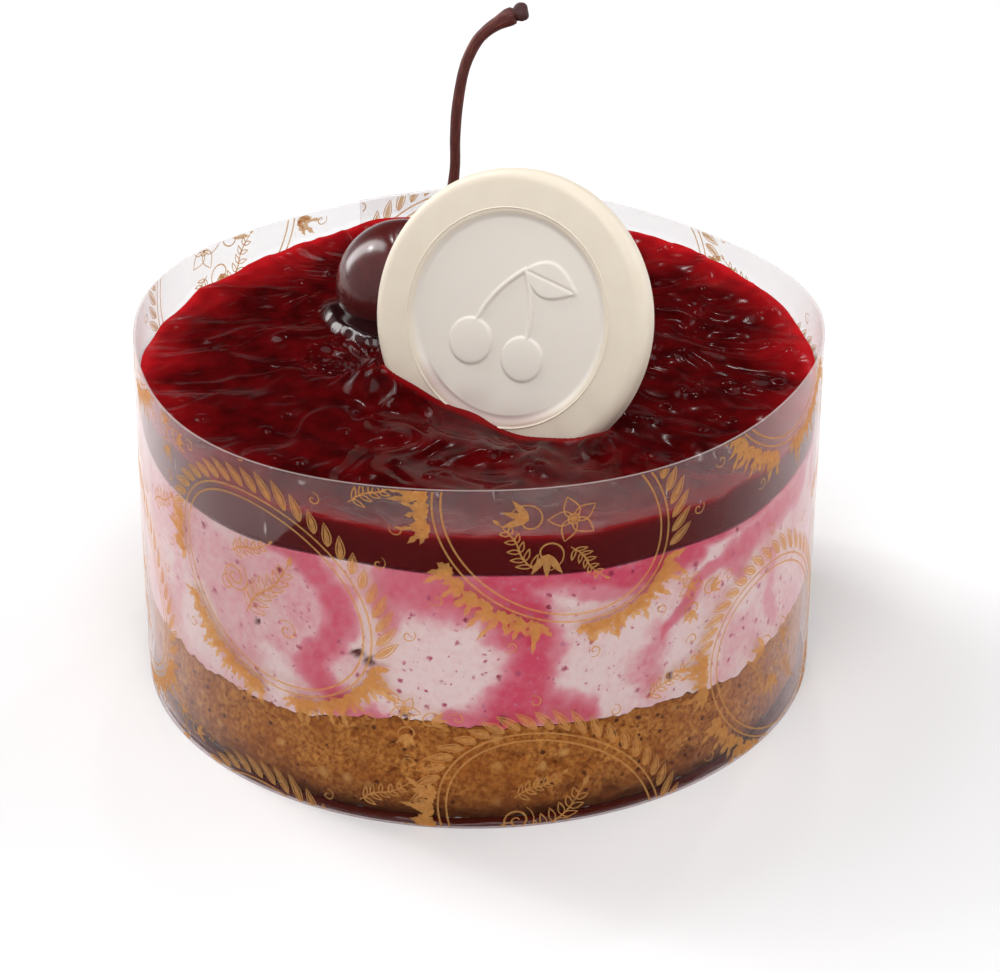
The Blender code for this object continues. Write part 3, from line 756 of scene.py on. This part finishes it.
STEM_START = 6.5 * MM                   # from the cherry's middle, inside its stem cavity
STEM_ROUTE = [Vector(point) * MM for point in (
    (-4.0, 14.0, 46.5), (-2.6, 14.3, 49.4), (-2.05, 14.5, 52.6), (-1.95, 14.5, 56.2),
    (-1.65, 14.5, 60.0), (-0.85, 14.5, 64.2), (0.35, 14.5, 67.0), (1.5, 14.5, 68.4),
    (2.9, 14.5, 69.4), (4.8, 14.5, 70.35), (6.2, 14.5, 70.6))]
# The stem's thickness along it: distance from the tip, and radius.
STEM_THICKNESS = ((0.0, 0.55), (0.25, 0.86), (0.8, 1.0), (1.25, 0.86), (1.45, 0.70), (1.7, 0.96),
                  (2.3, 0.98), (3.6, 0.74), (5.5, 0.62), (22.0, 0.60), (27.0, 0.66), (31.0, 0.85))
STEM_SIDES = 28
STEM_RINGS = 300
STEM_BARK = 0.05 * MM                   # height of the fibres along the stem

# Dried cherry stem: red-brown bark with tan fibres along it, and a dark, dry broken knob.
stem_material, tree, coords = start_material("dried_cherry_stem")
stem_uv = add_node(tree, "Attribute", out="Vector", attribute_name="along")
fibre_place = add_node(tree, "Mapping", Vector=stem_uv, Scale=(9.0, 1.4, 1.0))
fibres = add_node(tree, "TexNoise", Vector=fibre_place, Scale=1.0, Detail=3.0, Roughness=0.6)
bark_color = lay_color(tree, srgb("#4e1c18"), "#8a4a35", fibres, 0.52, 0.74)
bark_color = lay_color(tree, bark_color, "#3a1410", "knob")
bark_bump = add_node(tree, "Bump", Height=fibres, Strength=0.5, Distance=0.06 * MM)
add_node(tree, "OutputMaterial", Surface=add_node(
    tree, "BsdfPrincipled", Base_Color=bark_color, Roughness=0.55, Specular_IOR_Level=0.35,
    Normal=bark_bump))


def smooth_point(points, share):
    """Point on the Catmull-Rom curve through the points, at a share of their number."""
    ends = [2 * points[0] - points[1], *points, 2 * points[-1] - points[-2]]
    place = min(max(share, 0.0), 1.0) * (len(points) - 1)
    index = min(int(place), len(points) - 2)
    t = place - index
    a, b, c, d = ends[index:index + 4]
    return 0.5 * (2 * b + (c - a) * t + (2 * a - 5 * b + 4 * c - d) * t ** 2
                  + (3 * b - a - 3 * c + d) * t ** 3)


def even_route(points, count):
    """Points at even distances along the smooth curve, and the curve's length in metres."""
    fine = [smooth_point(points, step / 2000) for step in range(2001)]
    lengths = [0.0]
    for a, b in zip(fine, fine[1:]):
        lengths.append(lengths[-1] + (b - a).length)
    route, index = [], 0
    for step in range(count):
        wanted = lengths[-1] * step / (count - 1)
        while index < len(lengths) - 2 and lengths[index + 1] < wanted:
            index += 1
        t = (wanted - lengths[index]) / (lengths[index + 1] - lengths[index])
        route.append(fine[index].lerp(fine[index + 1], t))
    return route, lengths[-1]


stem_foot = CHERRY_CENTRE + CHERRY_AXIS * STEM_START
stem_line, stem_length = even_route([stem_foot, *STEM_ROUTE], STEM_RINGS + 1)
bm = bmesh.new()
bmesh.ops.create_grid(bm, x_segments=STEM_SIDES, y_segments=STEM_RINGS, size=1.0)
along_layer = bm.verts.layers.float_vector.new("along")
knob_layer = bm.verts.layers.float.new("knob")
for vert in bm.verts:
    turn = math.pi * (vert.co.x + 1.0)
    ring = round(0.5 * (vert.co.y + 1.0) * STEM_RINGS)
    before, after = stem_line[max(ring - 1, 0)], stem_line[min(ring + 1, STEM_RINGS)]
    forward = (after - before).normalized()
    side = forward.cross(Vector((0.0, 1.0, 0.0))).normalized()
    from_tip = stem_length * (1.0 - ring / STEM_RINGS) / MM
    around = ring_point(turn, 1.0)
    fibre = noise.noise(Vector((2.6 * around.x, 2.6 * around.y, from_tip / 6.0)))
    nubs = 0.16 * MM * math.cos(3.0 * turn + 0.6) * (1.0 - smooth_step(1.0, 1.5, from_tip))
    radius = read_table(STEM_THICKNESS, from_tip) * MM + STEM_BARK * fibre + nubs
    offset = side * math.cos(turn) + forward.cross(side) * math.sin(turn)
    vert.co = stem_line[ring] + radius * offset
    vert[along_layer] = (around.x, from_tip / 3.0, around.y)
    vert[knob_layer] = 1.0 - smooth_step(1.2, 1.8, from_tip)
bmesh.ops.remove_doubles(bm, verts=bm.verts, dist=1e-7)
bmesh.ops.holes_fill(bm, edges=[edge for edge in bm.edges if edge.is_boundary])
bmesh.ops.recalc_face_normals(bm, faces=bm.faces)
add_piece("stem_with_knob", bm, stem_material, "cherry_stem", sharp=50.0)


# ---------------------------------------------------------------- white chocolate medallion
# White chocolate cast in a plain round mould, with a wide raised margin and a shallow recess
# that holds two cherries on a twig in low relief. It is pushed into the glaze and leans back.
DISC_RADIUS = 15.8 * MM
DISC_THICKNESS = 3.2 * MM
DISC_FRONT_ROUND = 1.3 * MM
DISC_BACK_ROUND = 0.9 * MM
DISC_RECESS_RADIUS = 11.0 * MM
DISC_RECESS_DEPTH = 0.5 * MM
DISC_RECESS_WALL = 1.0 * MM
DISC_CENTRE = Vector((3.3, -9.2, 45.0)) * MM
DISC_TURN = math.radians(27)
DISC_LEAN = math.radians(20.5)
DISC_SEGMENTS = 288
DISC_BEAD = 0.14 * MM                   # height of the fine bead round the recess
RELIEF_RINGS = 84
RELIEF_HEIGHT = 0.34 * MM
# The motif, in millimetres on the recess floor: fruit middles and radius, twigs and leaf.
MOTIF_FRUIT = (((-3.9, -3.1), 2.5), ((2.3, -4.0), 2.4))
MOTIF_TWIGS = (((-3.6, -0.9), (-2.4, 2.6), (1.2, 5.4)), ((2.5, -1.9), (2.9, 2.0), (1.2, 5.4)))
MOTIF_LEAF = ((1.2, 5.4), (7.4, 3.9), 1.9)      # its two ends and half width
MOTIF_TWIG_WIDTH = 0.42
MOTIF_SOFTNESS = 0.14                   # half width of its soft cast edges
GLAZE_SHADE_TINT = 0.18                       # how much painted shade and red light from the glaze darken it near the glaze, and how much darker red is in the corner of the recess
RECESS_CORNER_RED = 0.55                  # and in the corner of the recess


def quarter_round(centre, radius, start, steps=7):
    """Quarter circle of a profile, anticlockwise from the start angle in degrees."""
    angles = (math.radians(start + 90.0 * step / steps) for step in range(steps + 1))
    return [(centre[0] + radius * math.cos(angle), centre[1] + radius * math.sin(angle))
            for angle in angles]


def soft_edge(away, width):
    """1 inside an outline, falling to 0 over its soft cast edge."""
    return 1.0 - smooth_step(-width, width, away)


def motif_relief(x, y):
    """Height of the motif, 0 to 1, at a place in millimetres on the recess floor."""
    point = Vector((x, y))
    height = 0.0
    for middle, radius in MOTIF_FRUIT:
        away = (point - Vector(middle)).length
        dome = math.sqrt(max(0.0, 1.0 - (away / radius) ** 2))
        height = max(height, soft_edge(away - radius, MOTIF_SOFTNESS) * (0.45 + 0.55 * dome))
    for start, bend, end in MOTIF_TWIGS:
        start, bend, end = Vector(start), Vector(bend), Vector(end)
        curve = [start.lerp(bend, t / 10).lerp(bend.lerp(end, t / 10), t / 10) for t in range(11)]
        away = distance_to_line(point, curve) - MOTIF_TWIG_WIDTH / 2
        height = max(height, 0.75 * soft_edge(away, MOTIF_SOFTNESS))
    stalk, tip, half_width = Vector(MOTIF_LEAF[0]), Vector(MOTIF_LEAF[1]), MOTIF_LEAF[2]
    along = (point - stalk).dot(tip - stalk) / (tip - stalk).length_squared
    if 0.0 < along < 1.0:
        across = abs((point - stalk - (tip - stalk) * along).length)
        edge = half_width * math.sin(math.pi * along ** 0.85)
        vein = 0.35 * soft_edge(across - 0.12, 0.10)
        height = max(height, soft_edge(across - edge, MOTIF_SOFTNESS) * (0.75 - vein))
    return height


# White chocolate: an ivory, waxy solid with a satin cast skin; light goes a little way in,
# and faint bloom mottles it.
chocolate_material, tree, coords = start_material("cast_white_chocolate")
bloom = add_node(tree, "TexNoise", Vector=coords, Scale=1 / (3.0 * MM), Detail=5.0, Roughness=0.6)
ivory = lay_color(tree, srgb("#d8ccb8"), "#e2d7c6", bloom)
ivory = lay_color(tree, ivory, "#ded6cb", "recess")
# painted shade and red light from the glaze near it, and a darker red in the recess corner
ivory = lay_color(tree, ivory, "#7c4244", "darkened_near_glaze")
skin = add_node(tree, "TexNoise", Vector=coords, Scale=1 / (0.35 * MM), Detail=2.0)
chocolate_bump = add_node(tree, "Bump", Height=skin, Strength=0.12, Distance=0.04 * MM)
add_node(tree, "OutputMaterial", Surface=add_node(
    tree, "BsdfPrincipled", Base_Color=ivory, Roughness=0.42, IOR=1.45, Subsurface_Weight=0.25,
    Subsurface_Radius=(1.0, 0.8, 0.6), Subsurface_Scale=1.0 * MM, Normal=chocolate_bump))

edge, back, wall = DISC_RADIUS, -DISC_THICKNESS, 0.5 * DISC_RECESS_WALL
profile = [(0.0, back), (0.3 * edge, back), (0.6 * edge, back)]
profile += quarter_round((edge - DISC_BACK_ROUND, back + DISC_BACK_ROUND), DISC_BACK_ROUND, -90.0)
profile += quarter_round((edge - DISC_FRONT_ROUND, -DISC_FRONT_ROUND), DISC_FRONT_ROUND, 0.0)
profile += [(DISC_RECESS_RADIUS + wall + DISC_BEAD * (2.2 - 0.2 * step),
             DISC_BEAD * 0.5 * (1.0 - math.cos(math.pi * step / 5))) for step in range(1, 11)]
profile += [(DISC_RECESS_RADIUS + wall * (1.0 - 2.0 * t), -DISC_RECESS_DEPTH * smooth_step(0.0, 1.0, t))
            for t in [step / 8 for step in range(9)]]
floor_radius = DISC_RECESS_RADIUS - wall
profile += [(floor_radius * (1.0 - step / RELIEF_RINGS), -DISC_RECESS_DEPTH)
            for step in range(1, RELIEF_RINGS + 1)]
bm = spin_profile(profile, DISC_SEGMENTS)
recess_layer = bm.verts.layers.float.new("recess")
darkened_layer = bm.verts.layers.float.new("darkened_near_glaze")
for vert in bm.verts:
    reach = math.hypot(vert.co.x, vert.co.y)
    if vert.co.z > -1.5 * DISC_RECESS_DEPTH and reach < DISC_RECESS_RADIUS:
        vert[recess_layer] = 1.0
    if vert.co.z > -1.5 * DISC_RECESS_DEPTH and reach < floor_radius:
        vert.co.z += RELIEF_HEIGHT * motif_relief(vert.co.x / MM, vert.co.y / MM)
facing = Vector((-math.sin(DISC_TURN) * math.cos(DISC_LEAN),
                 -math.cos(DISC_TURN) * math.cos(DISC_LEAN), math.sin(DISC_LEAN)))
rightward = Vector((math.cos(DISC_TURN), -math.sin(DISC_TURN), 0.0))
disc_turn = Matrix((rightward, facing.cross(rightward), facing)).transposed().to_4x4()
for vert in bm.verts:                   # painted shade and red glaze light near the glaze, darker red in the recess corner
    reach = math.hypot(vert.co.x, vert.co.y)
    in_wall = floor_radius - 0.2 * MM < reach < floor_radius + 1.1 * MM and vert.co.z < 0.0
    vert.co = DISC_CENTRE + disc_turn @ vert.co
    above = (vert.co.z - glaze_level(vert.co.x, vert.co.y)) / MM
    shade_tint = GLAZE_SHADE_TINT * smooth_step(4.5, 0.0, above) * (1.0 + 1.2 * noise.noise(vert.co / (2.5 * MM)))
    corner = RECESS_CORNER_RED * smooth_step(3.6, 1.2, above) if in_wall else 0.0
    vert[darkened_layer] = max(shade_tint, corner)
add_piece("cast_medallion", bm, chocolate_material, "white_chocolate_disc", sharp=50.0)


# ---------------------------------------------------------------- film collar
# A strip of clear polyester cake film, wound once round the cake and lapped at the back. It
# is dry and catches the light above the glaze, and almost vanishes where it is wet.
FILM_LAP_CENTRE = math.radians(98)
FILM_LAP_ANGLE = math.radians(26)
FILM_LAP_STEP = FILM_THICKNESS + GAP
FILM_STEP_ANGLES = (math.radians(14), math.radians(1))
FILM_COLUMNS = 560
FILM_ROWS = 70
FILM_START = FILM_LAP_CENTRE - 0.5 * FILM_LAP_ANGLE
FILM_TURN = 2.0 * math.pi + FILM_LAP_ANGLE
VEIL_WET = 0.0015                       # how much each face of the film hides, wet and dry
VEIL_DRY = 0.047
FILM_PASS = (0.940, 0.935, 0.935, 1.0)  # light that gets through each face
WET_MARGIN = 0.30 * MM                  # how far above glaze or cheese the film is still wet
WET_WANDER = 0.15 * MM
LOOSE_FROM = (-24.0, -34.0)             # degrees from the front between which the film has come
LOOSE_TO = (-120.0, -80.0)              # away from the glaze's side, so it is dry there too
HAZE_FROM = (40.0, 62.0)                # past this it has a faint dry haze over the glaze's side
HAZE = 0.35


def film_step(turned):
    """How far the last stretch has stepped out to lap over the first."""
    before, after = (2.0 * math.pi - early for early in FILM_STEP_ANGLES)
    return FILM_LAP_STEP * smooth_step(before, after, turned)


def film_dryness(angle, z):
    """0 where glaze or cheese wets the film, 1 where it stands clear of them."""
    place = ring_point(angle, FILM_RADIUS)
    cheese_edge = cheese_top(place.x, place.y)
    edge = glaze_level(place.x, place.y) + WET_MARGIN + WET_WANDER * noise.noise(place / (2.2 * MM))
    front = math.degrees(math.atan2(place.x, -place.y))
    loose = smooth_step(*LOOSE_FROM, front) * smooth_step(*LOOSE_TO, front)
    edge += (cheese_edge + WET_MARGIN - edge) * loose
    dry = smooth_step(edge - 0.08 * MM, edge + 0.08 * MM, z)
    return max(dry, HAZE * smooth_step(*HAZE_FROM, front) * smooth_step(cheese_edge, cheese_edge + MM, z))


# Clear polyester film: colourless and glossy. Only its dry stretches show, as a faint veil of
# reflected light that thickens towards its silhouette.
film_material, tree, coords = start_material("clear_polyester_film")
dryness = add_node(tree, "Attribute", out="Fac", attribute_name="dry")
smear = add_node(tree, "TexNoise", Vector=coords, Scale=1 / (6.0 * MM), Detail=5.0, Roughness=0.65)
smear = add_node(tree, "MapRange", Value=smear, From_Min=0.3, From_Max=0.7, To_Min=0.75, To_Max=1.30)
scuff_place = add_node(tree, "Mapping", Vector=coords, Rotation=(0.0, 0.7, 0.0), Scale=(1.0, 1.0, 0.22))
scuffs = add_node(tree, "TexNoise", Vector=scuff_place, Scale=1 / (0.8 * MM), Detail=2.0, Roughness=0.4)
scuffs = add_node(tree, "MapRange", Value=scuffs, From_Min=0.74, From_Max=0.80, To_Max=0.30)
scuffs = add_node(tree, "Math", {0: scuffs, 1: dryness}, operation="MULTIPLY")
glance = add_node(tree, "LayerWeight", out="Facing", Blend=0.5)
edge_veil = add_node(tree, "Math", {0: glance, 1: 4.0}, operation="POWER")
edge_veil = add_node(tree, "Math", {0: edge_veil, 1: 0.70, 2: scuffs}, operation="MULTIPLY_ADD")
veil = add_node(tree, "MapRange", Value=dryness, To_Min=VEIL_WET, To_Max=VEIL_DRY)
veil = add_node(tree, "Math", {0: veil, 1: smear, 2: edge_veil}, operation="MULTIPLY_ADD", use_clamp=True)
# the veil's faint pink is painted red light reflected from the glaze
film_sheen = add_node(tree, "BsdfPrincipled", Base_Color=srgb("#f1dddd"), Roughness=0.12, IOR=1.5)
film_clear = add_node(tree, "BsdfTransparent", Color=FILM_PASS)
film_shader = add_node(tree, "MixShader", {0: veil, 1: film_clear, 2: film_sheen})
add_node(tree, "OutputMaterial", Surface=film_shader)

# The film's cut edge: the same film seen end on, a pale grey thread, with a painted lavender reflection
# near its foot.
edge_material, tree, coords = start_material("cut_film_edge")
edge_height = add_node(tree, "SeparateXYZ", Vector=coords, out="Z")
# painted reflection: lavender towards the foot of the edge
edge_color = lay_color(tree, srgb("#d8cac6"), "#b98aa4", edge_height, 1.0 * MM, 0.2 * MM)
add_node(tree, "OutputMaterial", Surface=add_node(
    tree, "BsdfPrincipled", Base_Color=edge_color, Roughness=0.3, Alpha=0.35))


def film_point(turned, z, inward):
    """Place on the film: how far round it has been wound, height, and depth from outside."""
    angle = FILM_START + turned
    return ring_point(angle, FILM_RADIUS + rim_wave(angle, z) + film_step(turned) - inward, z)


bm = bmesh.new()
bmesh.ops.create_grid(bm, x_segments=FILM_COLUMNS, y_segments=FILM_ROWS, size=1.0)
dry_layer = bm.verts.layers.float.new("dry")
for vert in bm.verts:
    turned = 0.5 * (vert.co.x + 1.0) * FILM_TURN
    z = FILM_HEIGHT * (1.0 - (0.5 - 0.5 * vert.co.y) ** 1.6)     # rows stand closer towards the rim
    vert.co = film_point(turned, z, 0.5 * FILM_THICKNESS)
    vert[dry_layer] = film_dryness(FILM_START + turned, z)
film = add_piece("clear_film", bm, film_material, "acetate_collar", sharp=0.0)
film.data.materials.append(edge_material)
film_wall = film.modifiers.new("film thickness", "SOLIDIFY")
film_wall.thickness = FILM_THICKNESS
film_wall.offset = 0.0
film_wall.material_offset_rim = 1


# ---------------------------------------------------------------- gold print
# Gold ink printed on the outside of the film before it was cut: laurel-wreath ovals round
# drawn sprigs and flowers, each column set higher than the last, with small ones between.
PRINT_COLUMN = 30.7                     # all sizes of the print are in millimetres
PRINT_REPEAT = 35.5
PRINT_SHIFT = 10.7
PRINT_PLACE = (-23.0, 25.0)             # one oval's middle: distance round from the front, height
OVAL_HALF_LENGTH = 12.62
OVAL_HALF_WIDTH = 9.78
OVAL_TILT = math.radians(-36.8)
LINE_WIDTH = 0.21
LINE_OFFSETS = (0.45, -0.42)
WREATH_LEAVES = 46
LEAF_LENGTH = 2.9
LEAF_WIDTH = 0.95
OUTLINE_WIDTH = 0.15
INK_LIFT = 0.003                        # ink above the film, and the step to ink over ink
INK_STEP = 0.0015


def turned_point(place, angle, x, y=0.0):
    """A place moved by x and y along axes that are turned by the angle."""
    return Vector(place) + Matrix.Rotation(angle, 2) @ Vector((x, y))


def leaf_point(place, angle, length, width, t, side, lobes=0.0):
    """Point on a curved pointed leaf: t runs from stalk to tip, side across it from -1 to 1."""
    half = 0.5 * width * math.sin(math.pi * t ** 0.75)
    half *= 1.0 + 0.40 * math.sin(2.0 * math.pi * lobes * t)
    return turned_point(place, angle, length * t, side * half + 0.12 * length * t * t)


def add_leaf(bm, place, angle, length, width, lift=0.0, lobes=0):
    """Solid leaf, plain or lobed like an oak's."""
    made = bmesh.ops.create_grid(bm, x_segments=6 + 2 * lobes, y_segments=1, size=1.0)["verts"]
    for vert in made:
        point = leaf_point(place, angle, length, width, 0.5 * (vert.co.x + 1.0), vert.co.y, lobes)
        vert.co = (point.x, point.y, lift)


def add_line(bm, path, width, ends=1.0, lift=0.0):
    """Drawn line along a path, narrowed at its ends to a share of its width."""
    last = len(path) - 1
    made = bmesh.ops.create_grid(bm, x_segments=last, y_segments=1, size=1.0)["verts"]
    for vert in made:
        index = round(0.5 * (vert.co.x + 1.0) * last)
        along = (path[min(index + 1, last)] - path[max(index - 1, 0)]).normalized()
        half = 0.5 * width * (ends + (1.0 - ends) * math.sin(math.pi * index / last)) * vert.co.y
        vert.co = (path[index].x - along.y * half, path[index].y + along.x * half, lift)


def add_drawn_leaf(bm, place, angle, length, width, lift=0.0):
    """Leaf in outline only."""
    path = [leaf_point(place, angle, length, width, t / 7, 1.0) for t in range(8)]
    path += [leaf_point(place, angle, length, width, t / 7, -1.0) for t in range(6, -1, -1)]
    add_line(bm, path, OUTLINE_WIDTH, lift=lift)


def add_curl(bm, place, angle, size, turns, width=0.2):
    """Scroll that winds outwards from its eye."""
    steps = int(14 * abs(turns)) + 4
    path = [turned_point(place, angle + 2.0 * math.pi * turns * step / steps,
                         size * (0.12 + 0.88 * step / steps)) for step in range(steps + 1)]
    add_line(bm, path, width, ends=0.5)


def add_ring(bm, place, radius, width=0.16):
    add_line(bm, [turned_point(place, math.pi * t / 9, radius) for t in range(19)], width)


def oval_point(grow, turn):
    """Point on an oval's outline, grown by an amount, and its outward angle."""
    a, b = OVAL_HALF_LENGTH + grow, OVAL_HALF_WIDTH + grow
    point = turned_point((0.0, 0.0), OVAL_TILT, a * math.cos(turn), b * math.sin(turn))
    return point, math.atan2(math.sin(turn) / b, math.cos(turn) / a) + OVAL_TILT


def add_sprig(bm, place, angle, size, pairs=7):
    """Drawn twig: a curved stem with outlined leaves in pairs, smaller towards its tip."""
    bends = [turned_point(place, angle, size * x, size * y)
             for x, y in ((-1.0, -0.16), (-0.4, 0.05), (0.3, 0.03), (1.0, 0.24))]
    add_line(bm, [smooth_point(bends, t / 14) for t in range(15)], 0.2, ends=0.6)
    for step in range(pairs):
        share = 0.12 + 0.84 * step / pairs
        for side in (-1, 1):
            leaf_angle = angle + 0.2 * share + side * (1.0 - 0.25 * share)
            add_drawn_leaf(bm, smooth_point(bends, share), leaf_angle, size * (0.52 - 0.26 * share),
                           size * 0.15, lift=INK_STEP * (step % 2))
    add_leaf(bm, bends[-1], angle + 0.35, size * 0.3, size * 0.13)


def add_flower(bm, place, angle, size):
    """Drawn open flower with five petals, and two scrolls under it."""
    for petal in range(5):
        add_drawn_leaf(bm, place, angle + petal * 2.0 * math.pi / 5, size, 0.62 * size,
                       lift=INK_STEP * (petal % 3))
    add_ring(bm, place, 0.22 * size)
    for side in (-1, 1):
        foot = turned_point(place, angle, -1.5 * size, side * 0.85 * size)
        add_curl(bm, foot, angle + side * 1.2, 0.75 * size, side * 1.15)
        for step in range(3):
            add_leaf(bm, foot, angle + side * (1.6 + 0.6 * step), 1.1 * size, 0.3 * size,
                     lift=INK_STEP * step)


def add_wreath(bm):
    """Two oval lines and the laurel outside them: single leaves above, bushy foliage below."""
    for offset in LINE_OFFSETS:
        add_line(bm, [oval_point(offset, math.pi * t / 60)[0] for t in range(121)], LINE_WIDTH)
    for step in range(WREATH_LEAVES):
        turn = 2.0 * math.pi * (step + 0.5) / WREATH_LEAVES
        stalk, outward = oval_point(0.95, turn)
        bushy = smooth_step(0.15, -0.25, math.sin(turn - 0.35))
        lean = 0.75 if bushy < 0.5 else -0.55
        size = 1.0 + 0.14 * math.sin(4.0 * turn) + 0.08 * math.sin(11.0 * turn)
        lift = INK_STEP * (step % 3)
        if bushy < 0.5:
            add_leaf(bm, stalk, outward + lean, 0.88 * LEAF_LENGTH * size, 0.62 * LEAF_WIDTH, lift=lift)
            add_drawn_leaf(bm, stalk, outward + lean, LEAF_LENGTH * size, LEAF_WIDTH, lift=lift)
        elif math.sin(5.0 * turn) < 0.90:
            for fan in (-1.6, -0.8, 0.0, 0.8, 1.6):
                length = LEAF_LENGTH * size * (1.35 - 0.30 * abs(fan)) * draw.uniform(0.55, 1.1)
                leaf_angle = outward + 0.6 * lean + 0.55 * fan + draw.uniform(-0.3, 0.3)
                add_leaf(bm, stalk, leaf_angle, length, draw.uniform(0.6, 1.0) * LEAF_WIDTH,
                         lift=lift + 2 * INK_STEP * (fan + 1.6), lobes=3)
        if step % 4 == 0:
            tip, outward = oval_point(4.3, turn)
            add_curl(bm, tip, outward, 0.8, 1.1 if bushy < 0.5 else -1.1, width=0.16)


# Gold ink: metal flake in an amber varnish, satin, a little uneven, and thin enough that the
# light from behind comes through it warm.
ink_material, tree, coords = start_material("gold_ink")
flake = add_node(tree, "TexNoise", Vector=coords, Scale=1 / (0.5 * MM), Detail=3.0)
ink_color = lay_color(tree, srgb("#b87c38"), "#d6a058", flake)
ink_cover = add_node(tree, "MapRange", Value=flake, To_Min=0.40, To_Max=0.64)
ink_flake = add_node(tree, "BsdfPrincipled", Base_Color=ink_color, Roughness=0.45, Metallic=0.2)
ink_varnish = add_node(tree, "BsdfTransparent", Color=(1.0, 0.76, 0.46, 1.0))
ink_shader = add_node(tree, "MixShader", {0: ink_cover, 1: ink_varnish, 2: ink_flake})
add_node(tree, "OutputMaterial", Surface=ink_shader)

motifs = []                             # the same wreath round a sprig, and round a flower
for filling in (0, 1):
    bm = bmesh.new()
    add_wreath(bm)
    if filling:
        add_flower(bm, (1.8, 0.6), OVAL_TILT + 1.1, 2.6)
        add_sprig(bm, (-3.6, -2.2), OVAL_TILT + 2.6, 3.2, pairs=5)
        add_sprig(bm, (3.2, -4.6), OVAL_TILT - 0.4, 2.6, pairs=5)
    else:
        add_sprig(bm, (0.4, 0.2), OVAL_TILT + 1.35, 4.6)
        add_sprig(bm, (-1.6, 4.6), OVAL_TILT + 0.9, 2.8, pairs=5)
        add_curl(bm, (2.6, -3.8), 0.4, 1.3, 1.3)
        add_curl(bm, (-3.9, 0.6), 0.4, 1.9, 2.1, width=0.24)
        add_curl(bm, (-5.0, -0.6), 2.6, 1.1, -1.3)
    add_flower(bm, (0.5 * PRINT_COLUMN, -0.30 * PRINT_REPEAT), 2.2, 1.7)
    add_sprig(bm, (0.42 * PRINT_COLUMN, 0.40 * PRINT_REPEAT), 0.3, 3.0, pairs=5)
    motif = bpy.data.meshes.new("motif")
    bm.to_mesh(motif)
    bm.free()
    motifs.append(motif)

bm = bmesh.new()
for column in range(-5, 6):
    for row in range(-3, 4):
        across = PRINT_PLACE[0] + column * PRINT_COLUMN
        up = PRINT_PLACE[1] + column * PRINT_SHIFT + row * PRINT_REPEAT
        if -18.0 < up < 58.0:
            before = len(bm.verts)
            bm.from_mesh(motifs[(column + row) % 2])
            bm.verts.ensure_lookup_table()
            for vert in bm.verts[before:]:
                vert.co += Vector((across, up, 0.0))
# The strip runs from its inner end, which is this far round from the front, to its outer one,
# and the print is trimmed a little inside its four edges.
END_MARGIN = 0.3
EDGE_MARGIN = 0.15
strip_start = (FILM_START - 1.5 * math.pi) * FILM_RADIUS / MM
strip_end = strip_start + FILM_TURN * FILM_RADIUS / MM
for place, normal in (((strip_start + END_MARGIN, 0, 0), (-1, 0, 0)),
                      ((strip_end - END_MARGIN, 0, 0), (1, 0, 0)),
                      ((0, EDGE_MARGIN, 0), (0, -1, 0)),
                      ((0, FILM_HEIGHT / MM - EDGE_MARGIN, 0), (0, 1, 0))):
    bmesh.ops.bisect_plane(bm, geom=bm.verts[:] + bm.edges[:] + bm.faces[:], plane_co=place,
                           plane_no=normal, clear_outer=True)
for vert in bm.verts:
    turned = (vert.co.x - strip_start) * MM / FILM_RADIUS
    vert.co = film_point(turned, vert.co.y * MM, -(INK_LIFT + vert.co.z) * MM)
gold_print = add_piece("gold_print", bm, ink_material, sharp=0.0)
gold_print.visible_shadow = False       # ink on a film that lies on the cake casts nothing


# ---------------------------------------------------------------- juice at the foot
# Cherry juice that has soaked down and collected in a thin uneven ring between the rounded
# foot of the biscuit and the film.
JUICE_OUTER = FILM_RADIUS - FILM_THICKNESS - 0.12 * MM
JUICE_INNER = 36.2 * MM
JUICE_HEIGHT = 0.75 * MM
JUICE_SEGMENTS = 480

# Cherry juice: thin, dark and wet, nearly black red where it lies deep.
juice_material, tree, coords = start_material("cherry_juice")
add_node(tree, "OutputMaterial", Surface=add_node(
    tree, "BsdfPrincipled", Base_Color=srgb("#4a1208"), Roughness=0.08, IOR=1.35))

bm = bmesh.new()
middle = 0.5 * (JUICE_OUTER + JUICE_INNER)
half = 0.5 * (JUICE_OUTER - JUICE_INNER)
upright = Matrix.Translation((middle / half, 0, 0)) @ Matrix.Rotation(math.pi / 2, 4, "X")
bmesh.ops.create_circle(bm, segments=16, radius=1.0, matrix=upright)
bmesh.ops.spin(bm, geom=bm.verts[:] + bm.edges[:], axis=(0, 0, 1), cent=(0, 0, 0),
               angle=2.0 * math.pi, steps=JUICE_SEGMENTS, use_merge=True)
bmesh.ops.remove_doubles(bm, verts=bm.verts, dist=1e-5)
for vert in bm.verts:
    angle = math.atan2(vert.co.y, vert.co.x)
    out = math.hypot(vert.co.x, vert.co.y) - middle / half
    ring = ring_point(angle, 1.0)
    deep = 0.55 + 0.45 * noise.noise(ring * 7.0) + 0.2 * noise.noise(ring * 19.0)
    z = max(0.0, vert.co.z) * JUICE_HEIGHT * max(0.2, deep)
    vert.co = ring * (middle + out * half) + Vector((0.0, 0.0, z))
bmesh.ops.recalc_face_normals(bm, faces=bm.faces)
add_piece("juice_ring", bm, juice_material)
